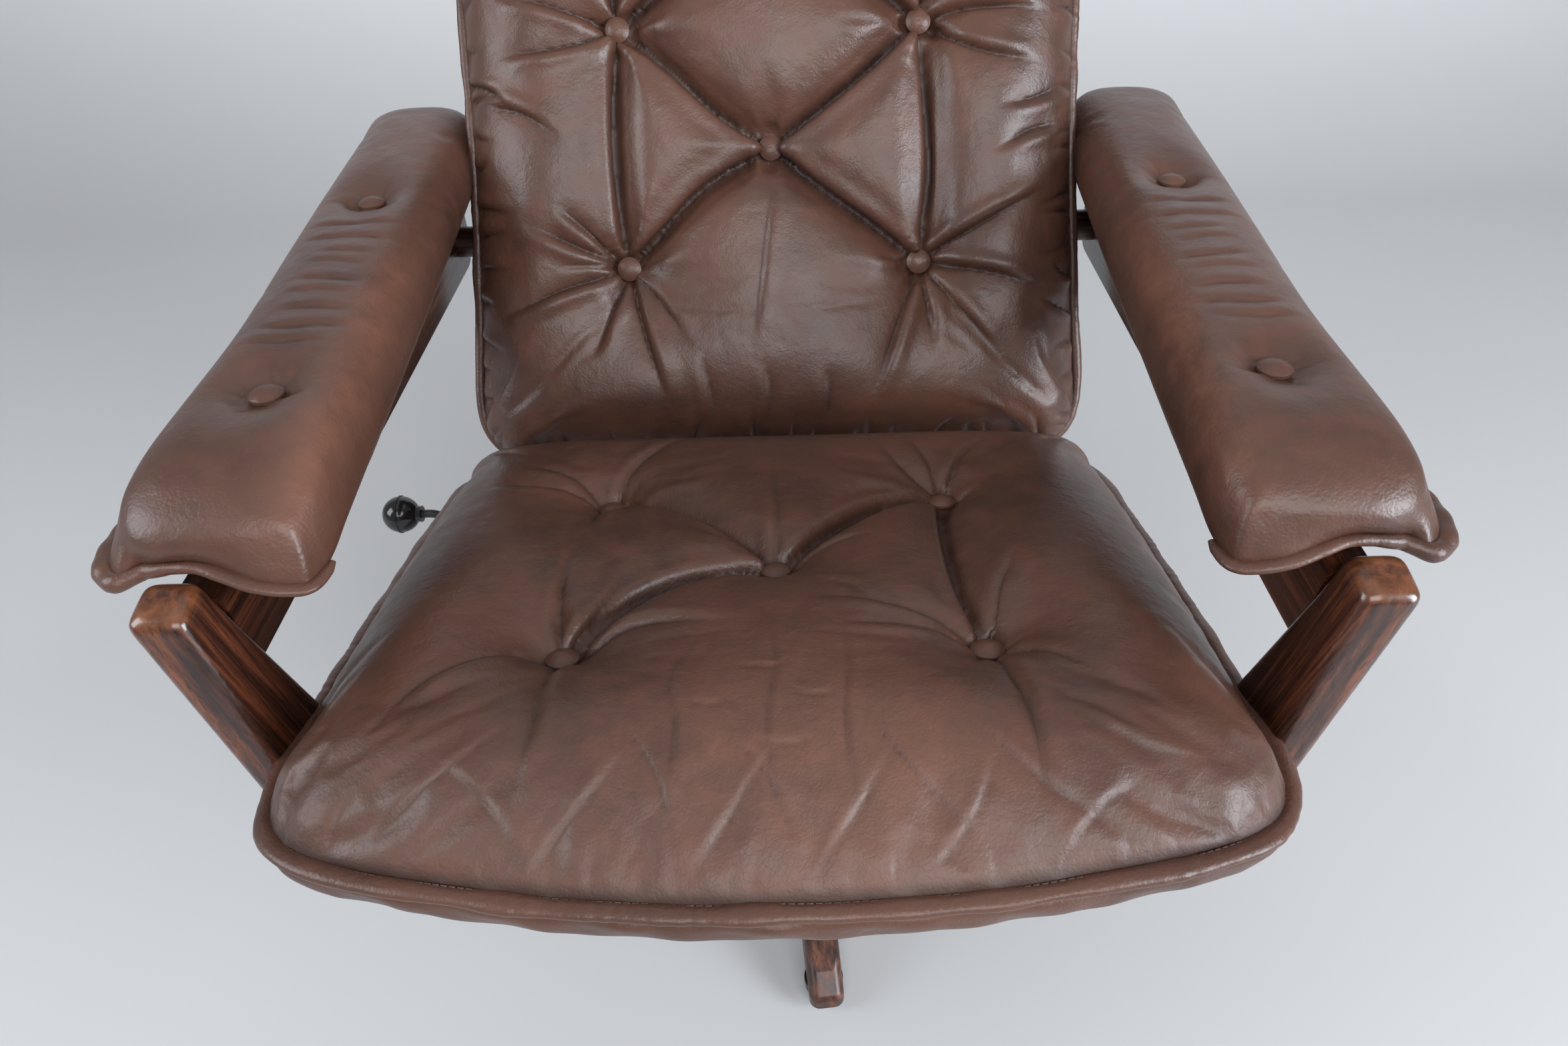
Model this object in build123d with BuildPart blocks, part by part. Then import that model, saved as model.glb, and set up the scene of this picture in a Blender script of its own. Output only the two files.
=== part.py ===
"""Swivel recliner: button-tufted leather seat, back and arms on a tilting swivel base.

Millimetres. The floor is z = 0, the swivel axis is the Z axis and the chair faces -Y.
The seat unit (seat, back, posts and arms) tilts back on an axle over a five-legged swivel base.
A lever with a ball knob drops a tooth into a notched sector and holds the tilt.
"""
import os
from math import atan2, cos, degrees, pi, radians, sin, sqrt, tan

from build123d import *

# Seat: the plane of its buttons, sloping down to the rear
SEAT_BUTTON_Y = -300.0
SEAT_BUTTON_Z = 425.0
SEAT_SLOPE = 12.0
BUTTON_SPACING = 270.0
SEAT_ROW_PITCH = 215.0
SEAT_HALF_WIDTH = 287.0
SEAT_FRONT = 128.0
SEAT_BOW = 50.0
SEAT_REAR = 366.0
SEAT_SWELL = 8.0
SEAT_FRONT_CORNER = 65.0
SEAT_REAR_CORNER = 35.0

# Back: the plane of its buttons, leaning back from upright
BACK_BUTTON_Y = 142.0
BACK_BUTTON_Z = 479.0
BACK_LEAN = 28.2
BACK_ROW_PITCH = 209.0
BACK_WIDER = 7.0
BACK_HALF_WIDTH = SEAT_HALF_WIDTH + BACK_WIDER
BACK_BELOW = 178.0
BACK_ABOVE = 503.0
BACK_TOP_BOW = 14.0
BACK_WAIST = 14.0
BACK_TOP_CORNER = 60.0
BACK_LOW_CORNER = 40.0

# Cushion build, measured from the button plane
CROWN = 20.0
SEAM_DEPTH = 35.0
CUSHION_DEPTH = 72.2
FLAT_BOW = 2.0
UNDER_DRAW = 28.0
CROWN_DRAW = 135.0
CROWN_FULLNESS = 2.6
UNDER_SHARES = (1.0, 0.5, 0.15)
CROWN_SHARES = (0.02, 0.08, 0.2, 0.45, 1.0)
TUFT_SEAT_DEPTH = 5.0
TUFT_RADIUS = 62.0
TUFT_MARGIN = 1.0
PLEAT_DEPTH = 12.0
PLEAT_HALF_WIDTH = 20.0
CUT_OVER = 1.0

# Covered buttons
BUTTON_DIAMETER = 22.0
BUTTON_DOME = 6.0
BUTTON_EDGE = 2.0

# Wooden seat and back frames
FRAME_INSET = 1.0
FRAME_HALF_WIDTH = SEAT_HALF_WIDTH - FRAME_INSET
FRAME_DROP = 75.0
RAIL_THICKNESS = 28.0
RAIL_DEPTH = 43.0
SIDE_RAIL_FRONT = 84.0
FRONT_RAIL_SETBACK = 12.0
CROSS_RAIL_AT = 205.0
REAR_RAIL_AT = 350.0
BACK_FRAME_ABOVE = 511.0
BACK_BOTTOM_RAIL_AT = -95.0
RAIL_EDGE = 3.0
SIDE_RAIL_ROUND = 26.0
STRAP_WIDTH = 50.0
STRAP_THICKNESS = 2.5
STRAP_LAP = 20.0
SEAT_STRAPS = 5
BACK_STRAPS = 6
COVER_THICKNESS = 7.0
COVER_EDGE = 2.5
COVER_CORNER = 30.0

# Front posts
POST_TOP_Z = 505.0
POST_DOME = 6.0
POST_SHOULDER_RISE = 3.6
POST_SHOULDER_DRAW = 1.8
POST_SPLAY = 35.0
POST_CENTRE_Y = -338.0
POST_TOP_DEPTH = 33.0
POST_FOOT_DEPTH = 84.0
POST_TOP_THICKNESS = 34.0
POST_FOOT_THICKNESS = 24.0
POST_FOOT_MARGIN = 14.0
POST_EDGE = 7.0
POST_BOLT_SPREAD = 34.0

# Arms: rail, board and pad
ARM_LENGTH = 629.0
ARM_WIDTH = 108.0
ARM_THICKNESS = 62.0
ARM_FRONT_Y = -314.0
ARM_OUTSET = 19.0
ARM_FRONT_X = FRAME_HALF_WIDTH + ARM_OUTSET
ARM_TOE_OUT = 3.7
ARM_RISE = 1.75
ARM_FRONT_Z = 507.0
ARM_END_BOW = 6.0
ARM_CORNER = 36.0
PAD_SHARES = (0.0, 0.12, 0.3, 0.55, 0.78, 0.93, 1.0)
PAD_INSETS = (6.0, 1.2, 0.0, 1.0, 4.5, 13.5, 27.0)
ARM_BUTTONS_AT = (109.0, 394.0)
ARM_TUFT_DEPTH = 8.0
ARM_TUFT_RADIUS = 34.0
ARM_RAIL_OUTSET = 32.0
ARM_RAIL_INNER_X = FRAME_HALF_WIDTH + ARM_RAIL_OUTSET
ARM_RAIL_THICKNESS = 28.0
ARM_RAIL_LOW_Z = 438.0
ARM_RAIL_TAIL = 32.0
ARM_RAIL_ROUND = 25.0
POST_SEAT = 0.1
ARM_BOARD_THICKNESS = 8.0
ARM_BOARD_WIDTH = 84.0
ARM_BOARD_FRONT = 21.0
ARM_BOARD_REAR = 24.0
ARM_BOARD_CORNER = 24.0
BOARD_SEAT = 0.1
ARM_BOLT_ALONG = 36.0
ARM_SPACER_DIAMETER = 30.0

# Base: hub, legs and glides
LEG_COUNT = 5
LEG_TURN = -84.3
LEG_REACH = 330.0
LEG_WIDTH = 30.0
LEG_TIP_TOP = 38.0
LEG_ROOT_LOW = 62.0
LEG_ROOT_HEIGHT = 43.0
LEG_FALL = 0.15
LEG_LIFT = 0.42
LEG_TIP_RUN = 19.0
LEG_TIP_ROUND = 8.0
LEG_TIP_EDGE = 9.0
GLIDE_DIAMETER = 34.0
GLIDE_HEIGHT = 12.0
GLIDE_CHAMFER = 3.0
GLIDE_INSET = 29.0
HUB_DIAMETER = 60.0
HUB_BORE = 50.0
HUB_TOP = 150.0
FLANGE_DIAMETER = 176.0
FLANGE_THICKNESS = 4.0
LEG_BOLT_RADII = (48.0, 74.0)

# Swivel bearing
SPINDLE_DIAMETER = 30.0
SPINDLE_LOW = 44.0
BUSH_FLANGE = 3.0
BUSH_LENGTH = 30.0
BUSH_FLANGE_DIAMETER = 60.0
WASHER_THICKNESS = 2.0
WASHER_DIAMETER = 54.0
CLIP_THICKNESS = 2.0
CLIP_DIAMETER = 42.0
CLIP_GROOVE = 2.0
CLIP_SLOT = 10.0

# Tilt mechanism, its axle placed along and below the seat's button plane
AXLE_ALONG = 275.0
AXLE_BELOW = 152.0
AXLE_DIAMETER = 14.0
TILT_BACK = 15.0
HOUSING_PLATE = 4.0
CHEEK_GAP = 88.0
CHEEK_CROWN = 16.0
HOUSING_FRONT = -125.0
HOUSING_REAR = 20.0
TILT_PLATE_THICKNESS = 4.0
TILT_PLATE_WIDTH = 150.0
TILT_PLATE_FRONT = 182.0
TILT_PLATE_REAR = 400.0
EAR_THICKNESS = 4.0
EAR_ROOT = 64.0
EAR_ROOT_BAND = 2.0
EAR_RADIUS = 15.0
TILT_BUSH_DIAMETER = 20.0
TILT_BUSH_FLANGE = 26.0
TILT_BUSH_RIM = 2.0
TILT_PLATE_CORNER = 12.0
STOP_RADIUS = 38.0
STOP_PIN_DIAMETER = 10.0
STOP_EAR_RADIUS = 11.0
AXLE_CLIP_DIAMETER = 22.0
AXLE_CLIP_THICKNESS = 1.5
AXLE_CLIP_SLOT = 7.0
AXLE_END = 1.5
AXLE_GROOVE = 1.0
PIN_CHAMFER = 0.75

# Tilt springs
SPRING_X = 26.0
SPRING_Y = -4.0
SPRING_DIAMETER = 25.0
SPRING_WIRE = 4.5
SPRING_TURNS = 5
SPRING_PAD_DROP = 9.0
SPRING_BOSS_HEIGHT = 6.0
COIL_SAMPLES = 24

# Tilt lock: notched sector, tooth, lever and knob
SECTOR_RADIUS = 80.0
SECTOR_INNER = 26.0
SECTOR_FROM = -7.0
SECTOR_TO = -60.0
SECTOR_THICKNESS = 6.0
SECTOR_SCREW_RADIUS = 38.0
SECTOR_SCREW_ANGLES = (-36.0, -54.0)
NOTCH_STEP = 7.5
NOTCH_DEPTH = 8.5
LEVER_THICKNESS = 5.0
LEVER_WIDTH = 16.0
LEVER_PIVOT_X = -8.0
LEVER_AHEAD = 97.0
LEVER_PLATE_END = 72.0
TOOTH_WIDTH = 10.0
TOOTH_CLEAR = 1.5
TOOTH_LEAD = 3.0
PIVOT_DIAMETER = 10.0
PIVOT_HEAD_DIAMETER = 18.0
PIVOT_HEAD = 5.0
ROD_DIAMETER = 8.0
ROD_TURN_OUTSET = 12.0
ROD_TURN_X = FRAME_HALF_WIDTH + ROD_TURN_OUTSET
ROD_RISE = 72.0
ROD_RUN = 36.0
ROD_BEND = 22.0
KNOB_OUTSET = 90.0
KNOB_X = FRAME_HALF_WIDTH + KNOB_OUTSET
KNOB_DIAMETER = 36.0
KNOB_NECK = 16.0
KNOB_NECK_LENGTH = 3.0
KNOB_RING = 0.8

# Fasteners and clearances
BOLT_DIAMETER = 8.0
BOLT_HEAD = 16.0
BOLT_HEAD_HEIGHT = 5.0
BOLT_BITE = 34.0
BOLT_CLEARANCE = 0.15
SCREW_DIAMETER = 5.0
SCREW_HEAD = 10.0
SCREW_HEAD_HEIGHT = 2.5
SCREW_BITE = 18.0
HOLE_SPARE = 1.0
RUNNING = 0.05
SOFT_GAP = 0.3
SIDE_PLAY = 0.5
SLOT_PLAY = 0.5
NOTCH_PLAY = 0.4
BRACKET_THICKNESS = 4.0
BRACKET_REACH = 62.0
BRACKET_WIDTH = 24.0

slope = radians(SEAT_SLOPE)
lean = radians(BACK_LEAN)
SEAT = Plane((0, SEAT_BUTTON_Y, SEAT_BUTTON_Z), x_dir=(1, 0, 0), z_dir=(0, sin(slope), cos(slope)))
BACK = Plane((0, BACK_BUTTON_Y, BACK_BUTTON_Z), x_dir=(1, 0, 0), z_dir=(0, -cos(lean), sin(lean)))

pieces = {}


def side_view(plane, x):
    """Plane at x across the chair, with plane's length along its local X and its height along Y."""
    return Plane(plane.origin + Vector(x, 0, 0), x_dir=plane.y_dir, z_dir=(1, 0, 0))


def cross_view(plane, x, along):
    """Plane across the chair through a point of plane, with local X across and Y along its normal."""
    return Plane(plane.from_local_coords((x, along, 0)), x_dir=plane.x_dir, z_dir=-plane.y_dir)


def plan_section(level, half_width, low, high, low_bow, high_bow, swell, low_corner, high_corner):
    """Rounded four-sided cushion outline with bowed ends and swelling or drawn-in sides."""
    middle = (low + high) / 2
    with BuildSketch(level) as outline:
        with BuildLine():
            ThreePointArc((-half_width, low), (0, low - low_bow), (half_width, low))
            ThreePointArc((half_width, low), (half_width + swell, middle), (half_width, high))
            ThreePointArc((half_width, high), (0, high + high_bow), (-half_width, high))
            ThreePointArc((-half_width, high), (-half_width - swell, middle), (-half_width, low))
        make_face()
        fillet(outline.vertices().sort_by(Axis.Y)[:2], low_corner)
        fillet(outline.vertices().sort_by(Axis.Y)[-2:], high_corner)
    return outline.sketch


def tuft(plane, x, along, seat_depth, crown, radius):
    """Cut the round hollow that a button pulls into a cushion, flat where the button lies."""
    flat = BUTTON_DIAMETER / 2 + TUFT_MARGIN
    rim = crown + CUT_OVER
    with BuildSketch(cross_view(plane, x, along)) as hollow:
        with BuildLine():
            Line((0, rim), (0, -seat_depth))
            Line((0, -seat_depth), (flat, -seat_depth))
            TangentArc((radius, rim), (flat, -seat_depth), tangent=(-1, 0))
            Line((radius, rim), (0, rim))
        make_face()
    axis = Axis(plane.from_local_coords((x, along, 0)), plane.z_dir)
    revolve(hollow.sketch, axis=axis, mode=Mode.SUBTRACT)


def pleat(plane, start, end, crown):
    """Cut the folded channel that runs from one button to the next."""
    first = plane.from_local_coords((start[0], start[1], 0))
    run = plane.from_local_coords((end[0], end[1], 0)) - first
    across = Plane(first, x_dir=plane.z_dir.cross(run), z_dir=run)
    low = crown - PLEAT_DEPTH
    rim = crown + CUT_OVER
    with BuildSketch(across) as channel:
        with BuildLine():
            TangentArc((PLEAT_HALF_WIDTH, rim), (0, low), tangent=(-1, 0))
            Line((PLEAT_HALF_WIDTH, rim), (-PLEAT_HALF_WIDTH, rim))
            TangentArc((-PLEAT_HALF_WIDTH, rim), (0, low), tangent=(1, 0))
        make_face()
    extrude(channel.sketch, amount=run.length, mode=Mode.SUBTRACT)


def button(plane, x, along, seat_depth):
    """Domed covered button lying in its tuft."""
    edge = BUTTON_DIAMETER / 2
    low = -seat_depth
    with BuildSketch(cross_view(plane, x, along)) as half:
        with BuildLine():
            Line((0, low), (edge, low))
            Line((edge, low), (edge, low + BUTTON_EDGE))
            TangentArc((0, low + BUTTON_DOME), (edge, low + BUTTON_EDGE), tangent=(1, 0))
            Line((0, low + BUTTON_DOME), (0, low))
        make_face()
    revolve(half.sketch, axis=Axis(plane.from_local_coords((x, along, 0)), plane.z_dir))


def cushion_levels():
    """Heights from the button plane, low to high, and how far the outline is drawn in at each."""
    below = CUSHION_DEPTH - SEAM_DEPTH
    above = SEAM_DEPTH + CROWN
    levels = []
    for share in UNDER_SHARES:
        levels.append((-SEAM_DEPTH - below * sqrt(1 - (1 - share) ** 2), UNDER_DRAW * share))
    levels.append((-SEAM_DEPTH, 0.0))
    for share in CROWN_SHARES:
        rise = (1 - (1 - share) ** CROWN_FULLNESS) ** (1 / CROWN_FULLNESS)
        levels.append((above * rise - SEAM_DEPTH, CROWN_DRAW * share))
    return levels


LEVELS = cushion_levels()
half_row = BUTTON_SPACING / 2

# Seat cushion with its five tufts
seat_places = [
    (-half_row, 0),
    (half_row, 0),
    (0, SEAT_ROW_PITCH / 2),
    (-half_row, SEAT_ROW_PITCH),
    (half_row, SEAT_ROW_PITCH),
]
with BuildPart() as seat_cushion:
    loft([
        plan_section(
            SEAT.offset(height),
            SEAT_HALF_WIDTH - inset,
            inset - SEAT_FRONT,
            SEAT_REAR - inset,
            SEAT_BOW * (1 - inset / SEAT_HALF_WIDTH),
            FLAT_BOW,
            SEAT_SWELL,
            SEAT_FRONT_CORNER * (1 - inset / SEAT_HALF_WIDTH),
            SEAT_REAR_CORNER * (1 - inset / SEAT_HALF_WIDTH),
        )
        for height, inset in LEVELS
    ], ruled=True)
    for place in seat_places:
        tuft(SEAT, place[0], place[1], TUFT_SEAT_DEPTH, CROWN, TUFT_RADIUS)
    for corner in (0, 1, 3, 4):
        pleat(SEAT, seat_places[2], seat_places[corner], CROWN)
pieces["seat_cushion"] = seat_cushion

with BuildPart() as seat_buttons:
    for place in seat_places:
        button(SEAT, place[0], place[1], TUFT_SEAT_DEPTH)
pieces["seat_buttons"] = seat_buttons

# Back cushion with its eight tufts, rows of two and one by turns
back_places = []
for row in range(5):
    along = row * BACK_ROW_PITCH / 2
    back_places += [(0, along)] if row % 2 else [(-half_row, along), (half_row, along)]
back_folds = [(2, 0), (2, 1), (2, 3), (2, 4), (5, 3), (5, 4), (5, 6), (5, 7)]
back_folds += [(0, 3), (1, 4), (3, 6), (4, 7)]
with BuildPart() as back_cushion:
    loft([
        plan_section(
            BACK.offset(height),
            BACK_HALF_WIDTH - inset,
            inset - BACK_BELOW,
            BACK_ABOVE - inset,
            FLAT_BOW,
            BACK_TOP_BOW,
            -BACK_WAIST * (1 - inset / BACK_HALF_WIDTH),
            BACK_LOW_CORNER * (1 - inset / BACK_HALF_WIDTH),
            BACK_TOP_CORNER * (1 - inset / BACK_HALF_WIDTH),
        )
        for height, inset in LEVELS
    ], ruled=True)
    for place in back_places:
        tuft(BACK, place[0], place[1], TUFT_SEAT_DEPTH, CROWN, TUFT_RADIUS)
    for first, second in back_folds:
        pleat(BACK, back_places[first], back_places[second], CROWN)
pieces["back_cushion"] = back_cushion

with BuildPart() as back_buttons:
    for place in back_places:
        button(BACK, place[0], place[1], TUFT_SEAT_DEPTH)
pieces["back_buttons"] = back_buttons

# Where the frames' faces lie
rail_top = -FRAME_DROP
rail_low = rail_top - RAIL_DEPTH
rail_inner = FRAME_HALF_WIDTH - RAIL_THICKNESS
stile_front = -FRAME_DROP
stile_rear = stile_front - RAIL_THICKNESS
back_origin = SEAT.to_local_coords(BACK.origin)


stile_middle = (stile_front + stile_rear) / 2
rail_middle = (rail_top + rail_low) / 2


def along_stile(level, depth):
    """Place along the back, at a depth from its button plane, that meets a level of the seat."""
    turn = lean - slope
    return (level - back_origin.Z - depth * sin(turn)) / cos(turn)


def on_rail(level, depth):
    """Place along the seat where a line of the stile, at a depth, meets a level of the seat."""
    turn = lean - slope
    return back_origin.Y + along_stile(level, depth) * sin(turn) - depth * cos(turn)


rail_end = on_rail(rail_top, stile_rear) + RAIL_EDGE
post_along = SEAT.to_local_coords((0, POST_CENTRE_Y, SEAT_BUTTON_Z)).Y
post_rail_middle = SEAT.from_local_coords((0, post_along, rail_middle))
post_bolts_at = [
    (post_along - POST_BOLT_SPREAD / 2, rail_middle),
    (post_along + POST_BOLT_SPREAD / 2, rail_middle),
]
bolt_hole = BOLT_DIAMETER / 2 + BOLT_CLEARANCE

# Where the arm bolts pass through the stiles
arm_bolt_point = BACK.from_local_coords((0, ARM_BOLT_ALONG, stile_middle))

# Side rails, running back under the stiles
with BuildPart() as seat_side_rail_right:
    with BuildSketch(side_view(SEAT, rail_inner)) as profile:
        with Locations(((rail_end - SIDE_RAIL_FRONT) / 2, rail_middle)):
            Rectangle(rail_end + SIDE_RAIL_FRONT, RAIL_DEPTH)
        fillet(profile.vertices().group_by(Axis.Y)[0], SIDE_RAIL_ROUND)
    extrude(amount=RAIL_THICKNESS)
    with BuildSketch(side_view(SEAT, rail_inner)):
        with Locations(*post_bolts_at):
            Circle(bolt_hole)
    extrude(amount=RAIL_THICKNESS, mode=Mode.SUBTRACT)
with BuildPart() as seat_side_rail_left:
    mirror(seat_side_rail_right.part, about=Plane.YZ)
pieces["seat_side_rail_right"] = seat_side_rail_right
pieces["seat_side_rail_left"] = seat_side_rail_left


# Cross members between the side rails
def seat_cross_member(middle):
    """Rail between the two side rails, its middle at a place along the seat."""
    with BuildSketch(side_view(SEAT, -rail_inner)) as profile:
        with Locations((middle, rail_middle)):
            Rectangle(RAIL_THICKNESS, RAIL_DEPTH)
        fillet(profile.vertices(), RAIL_EDGE)
    extrude(profile.sketch, amount=2 * rail_inner)


plate_screw_x = TILT_PLATE_WIDTH / 2 - SCREW_HEAD
screw_hole = SCREW_DIAMETER / 2 + BOLT_CLEARANCE
front_rail_at = FRONT_RAIL_SETBACK - SIDE_RAIL_FRONT + RAIL_THICKNESS / 2
with BuildPart() as seat_front_rail:
    seat_cross_member(front_rail_at)
pieces["seat_front_rail"] = seat_front_rail

for name, place in (("seat_cross_rail", CROSS_RAIL_AT), ("seat_rear_rail", REAR_RAIL_AT)):
    with BuildPart() as member:
        seat_cross_member(place)
        with BuildSketch(SEAT.offset(rail_low)):
            with Locations((-plate_screw_x, place), (plate_screw_x, place)):
                Circle(screw_hole)
        extrude(amount=SCREW_BITE + HOLE_SPARE, mode=Mode.SUBTRACT)
    pieces[name] = member

# Webbing across the seat frame and the back frame
strap_half = rail_inner + STRAP_LAP
seat_strap_run = REAR_RAIL_AT - front_rail_at - STRAP_WIDTH
with BuildPart() as seat_webbing:
    with BuildSketch(SEAT.offset(rail_top)):
        with Locations((0, (front_rail_at + REAR_RAIL_AT) / 2)):
            with GridLocations(1, seat_strap_run / (SEAT_STRAPS - 1), 1, SEAT_STRAPS):
                Rectangle(2 * strap_half, STRAP_WIDTH)
    extrude(amount=STRAP_THICKNESS)
pieces["seat_webbing"] = seat_webbing

# Back frame: stiles standing on the side rails, with a top and a bottom rail between them
with BuildPart() as back_stile_right:
    with BuildSketch(side_view(BACK, rail_inner)) as profile:
        with BuildLine():
            Polyline(
                (along_stile(rail_top, stile_front), stile_front),
                (BACK_FRAME_ABOVE, stile_front),
                (BACK_FRAME_ABOVE, stile_rear),
                (along_stile(rail_top, stile_rear), stile_rear),
                close=True,
            )
        make_face()
        fillet(profile.vertices().group_by(Axis.X)[-1], RAIL_EDGE)
    extrude(amount=RAIL_THICKNESS)
    with BuildSketch(side_view(BACK, rail_inner)):
        with Locations((ARM_BOLT_ALONG, stile_middle)):
            Circle(bolt_hole)
    extrude(amount=RAIL_THICKNESS, mode=Mode.SUBTRACT)
with BuildPart() as back_stile_left:
    mirror(back_stile_right.part, about=Plane.YZ)
pieces["back_stile_right"] = back_stile_right
pieces["back_stile_left"] = back_stile_left

for name, place in (
    ("back_top_rail", BACK_FRAME_ABOVE - RAIL_DEPTH / 2),
    ("back_bottom_rail", BACK_BOTTOM_RAIL_AT),
):
    with BuildPart() as member:
        with BuildSketch(side_view(BACK, -rail_inner)) as profile:
            with Locations((place, stile_middle)):
                Rectangle(RAIL_DEPTH, RAIL_THICKNESS)
            fillet(profile.vertices(), RAIL_EDGE)
        extrude(amount=2 * rail_inner)
    pieces[name] = member

back_strap_run = BACK_FRAME_ABOVE - RAIL_DEPTH / 2 - BACK_BOTTOM_RAIL_AT
with BuildPart() as back_webbing:
    with BuildSketch(BACK.offset(stile_front)):
        with Locations((0, BACK_BOTTOM_RAIL_AT + back_strap_run / 2)):
            with GridLocations(1, back_strap_run / (BACK_STRAPS - 1), 1, BACK_STRAPS):
                Rectangle(2 * strap_half, STRAP_WIDTH)
    extrude(amount=STRAP_THICKNESS)
pieces["back_webbing"] = back_webbing

# Upholstered panel that closes the rear of the back frame
cover_low = along_stile(rail_top, stile_rear) + RAIL_EDGE
with BuildPart() as back_cover:
    with BuildSketch(BACK.offset(stile_rear)):
        with Locations((0, (cover_low + BACK_FRAME_ABOVE) / 2)):
            RectangleRounded(2 * FRAME_HALF_WIDTH, BACK_FRAME_ABOVE - cover_low, COVER_CORNER)
    extrude(amount=-COVER_THICKNESS)
    fillet(back_cover.faces().sort_by(Axis(BACK.origin, BACK.z_dir))[0].edges(), COVER_EDGE)
pieces["back_cover"] = back_cover

# Steel straps on the inside that tie each stile to its side rail
bracket_corner = on_rail(rail_middle, stile_middle)
bracket_top_along = along_stile(rail_top, stile_front) + BRACKET_REACH
bracket_top = SEAT.to_local_coords(BACK.from_local_coords((0, bracket_top_along, stile_middle)))
bracket_ends = [
    (bracket_corner - BRACKET_REACH, rail_middle),
    (bracket_corner, rail_middle),
    (bracket_top.Y, bracket_top.Z),
]
with BuildPart() as back_brackets:
    for inside, grow in ((rail_inner, -BRACKET_THICKNESS), (-rail_inner, BRACKET_THICKNESS)):
        with BuildSketch(side_view(SEAT, inside)):
            for first, second in ((0, 1), (1, 2)):
                start = Vector(*bracket_ends[first])
                run = Vector(*bracket_ends[second]) - start
                with Locations(Location((start + run / 2), degrees(atan2(run.Y, run.X)))):
                    SlotCenterToCenter(run.length, BRACKET_WIDTH)
            with Locations(*bracket_ends):
                Circle(screw_hole, mode=Mode.SUBTRACT)
        extrude(amount=grow)
pieces["back_brackets"] = back_brackets

with BuildPart() as bracket_screws:
    for inside, grow in ((rail_inner, -1), (-rail_inner, 1)):
        face = inside + grow * BRACKET_THICKNESS
        for radius, reach in (
            (SCREW_HEAD / 2, SCREW_HEAD_HEIGHT),
            (SCREW_DIAMETER / 2, -BRACKET_THICKNESS),
        ):
            with BuildSketch(side_view(SEAT, face)):
                with Locations(*bracket_ends):
                    Circle(radius)
            extrude(amount=grow * reach)
pieces["bracket_screws"] = bracket_screws

# Front posts: an upright foot on the side rail, then a splayed taper up to a domed top
foot_low = post_rail_middle.Z - RAIL_DEPTH / 2 - POST_FOOT_MARGIN
foot_high = post_rail_middle.Z + RAIL_DEPTH / 2
post_run = POST_TOP_Z - foot_low


def post_section(height, inset):
    """Rounded section of the right-hand post at a height."""
    share = min((height - foot_low) / post_run, 1)
    splay = min(max(height - foot_high, 0) / (POST_TOP_Z - foot_high), 1)
    thickness = POST_FOOT_THICKNESS + (POST_TOP_THICKNESS - POST_FOOT_THICKNESS) * splay
    depth = POST_FOOT_DEPTH + (POST_TOP_DEPTH - POST_FOOT_DEPTH) * share
    middle_x = FRAME_HALF_WIDTH + POST_SPLAY * splay + thickness / 2
    with BuildSketch(Plane.XY.offset(height)) as section:
        with Locations((middle_x, POST_CENTRE_Y)):
            RectangleRounded(thickness - 2 * inset, depth - 2 * inset, POST_EDGE)
    return section.sketch


with BuildPart() as front_post_right:
    loft([
        post_section(foot_low, 0),
        post_section(foot_high, 0),
        post_section(POST_TOP_Z, 0),
    ], ruled=True)
    loft([
        post_section(POST_TOP_Z, 0),
        post_section(POST_TOP_Z + POST_SHOULDER_RISE, POST_SHOULDER_DRAW),
        post_section(POST_TOP_Z + POST_DOME, POST_DOME),
    ], ruled=True)
    with BuildSketch(side_view(SEAT, FRAME_HALF_WIDTH)):
        with Locations(*post_bolts_at):
            Circle(bolt_hole)
    extrude(amount=POST_FOOT_THICKNESS, mode=Mode.SUBTRACT)
with BuildPart() as front_post_left:
    mirror(front_post_right.part, about=Plane.YZ)
pieces["front_post_right"] = front_post_right
pieces["front_post_left"] = front_post_left

with BuildPart() as post_bolts:
    for side in (1, -1):
        face = side * (FRAME_HALF_WIDTH + POST_FOOT_THICKNESS)
        for radius, reach in ((BOLT_HEAD / 2, BOLT_HEAD_HEIGHT), (BOLT_DIAMETER / 2, -BOLT_BITE)):
            with BuildSketch(side_view(SEAT, face)):
                with Locations(*post_bolts_at):
                    Circle(radius)
            extrude(amount=side * reach)
pieces["post_bolts"] = post_bolts

# Arms: the pad's plane lies on its underside, along the arm, toed out and rising to the rear
toe = radians(ARM_TOE_OUT)
rise = radians(ARM_RISE)
arm_run = Vector(sin(toe) * cos(rise), cos(toe) * cos(rise), sin(rise))
arm_across = Vector(cos(toe), -sin(toe), 0)
ARM = Plane((ARM_FRONT_X, ARM_FRONT_Y, ARM_FRONT_Z), x_dir=arm_across, z_dir=arm_across.cross(arm_run))
arm_half = ARM_WIDTH / 2


def pad_section(share, inset):
    """Outline of the right-hand arm pad at a share of its thickness."""
    return plan_section(
        ARM.offset(share * ARM_THICKNESS),
        arm_half - inset,
        ARM_END_BOW + inset,
        ARM_LENGTH - ARM_END_BOW - inset,
        ARM_END_BOW,
        ARM_END_BOW,
        FLAT_BOW,
        ARM_CORNER * (1 - inset / arm_half),
        ARM_CORNER * (1 - inset / arm_half),
    )


pad_top = ARM.offset(ARM_THICKNESS)
with BuildPart() as arm_pad_right:
    loft([pad_section(share, inset) for share, inset in zip(PAD_SHARES, PAD_INSETS)], ruled=True)
    for along in ARM_BUTTONS_AT:
        tuft(pad_top, 0, along, ARM_TUFT_DEPTH, 0, ARM_TUFT_RADIUS)
with BuildPart() as arm_pad_left:
    mirror(arm_pad_right.part, about=Plane.YZ)
pieces["arm_pad_right"] = arm_pad_right
pieces["arm_pad_left"] = arm_pad_left

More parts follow.
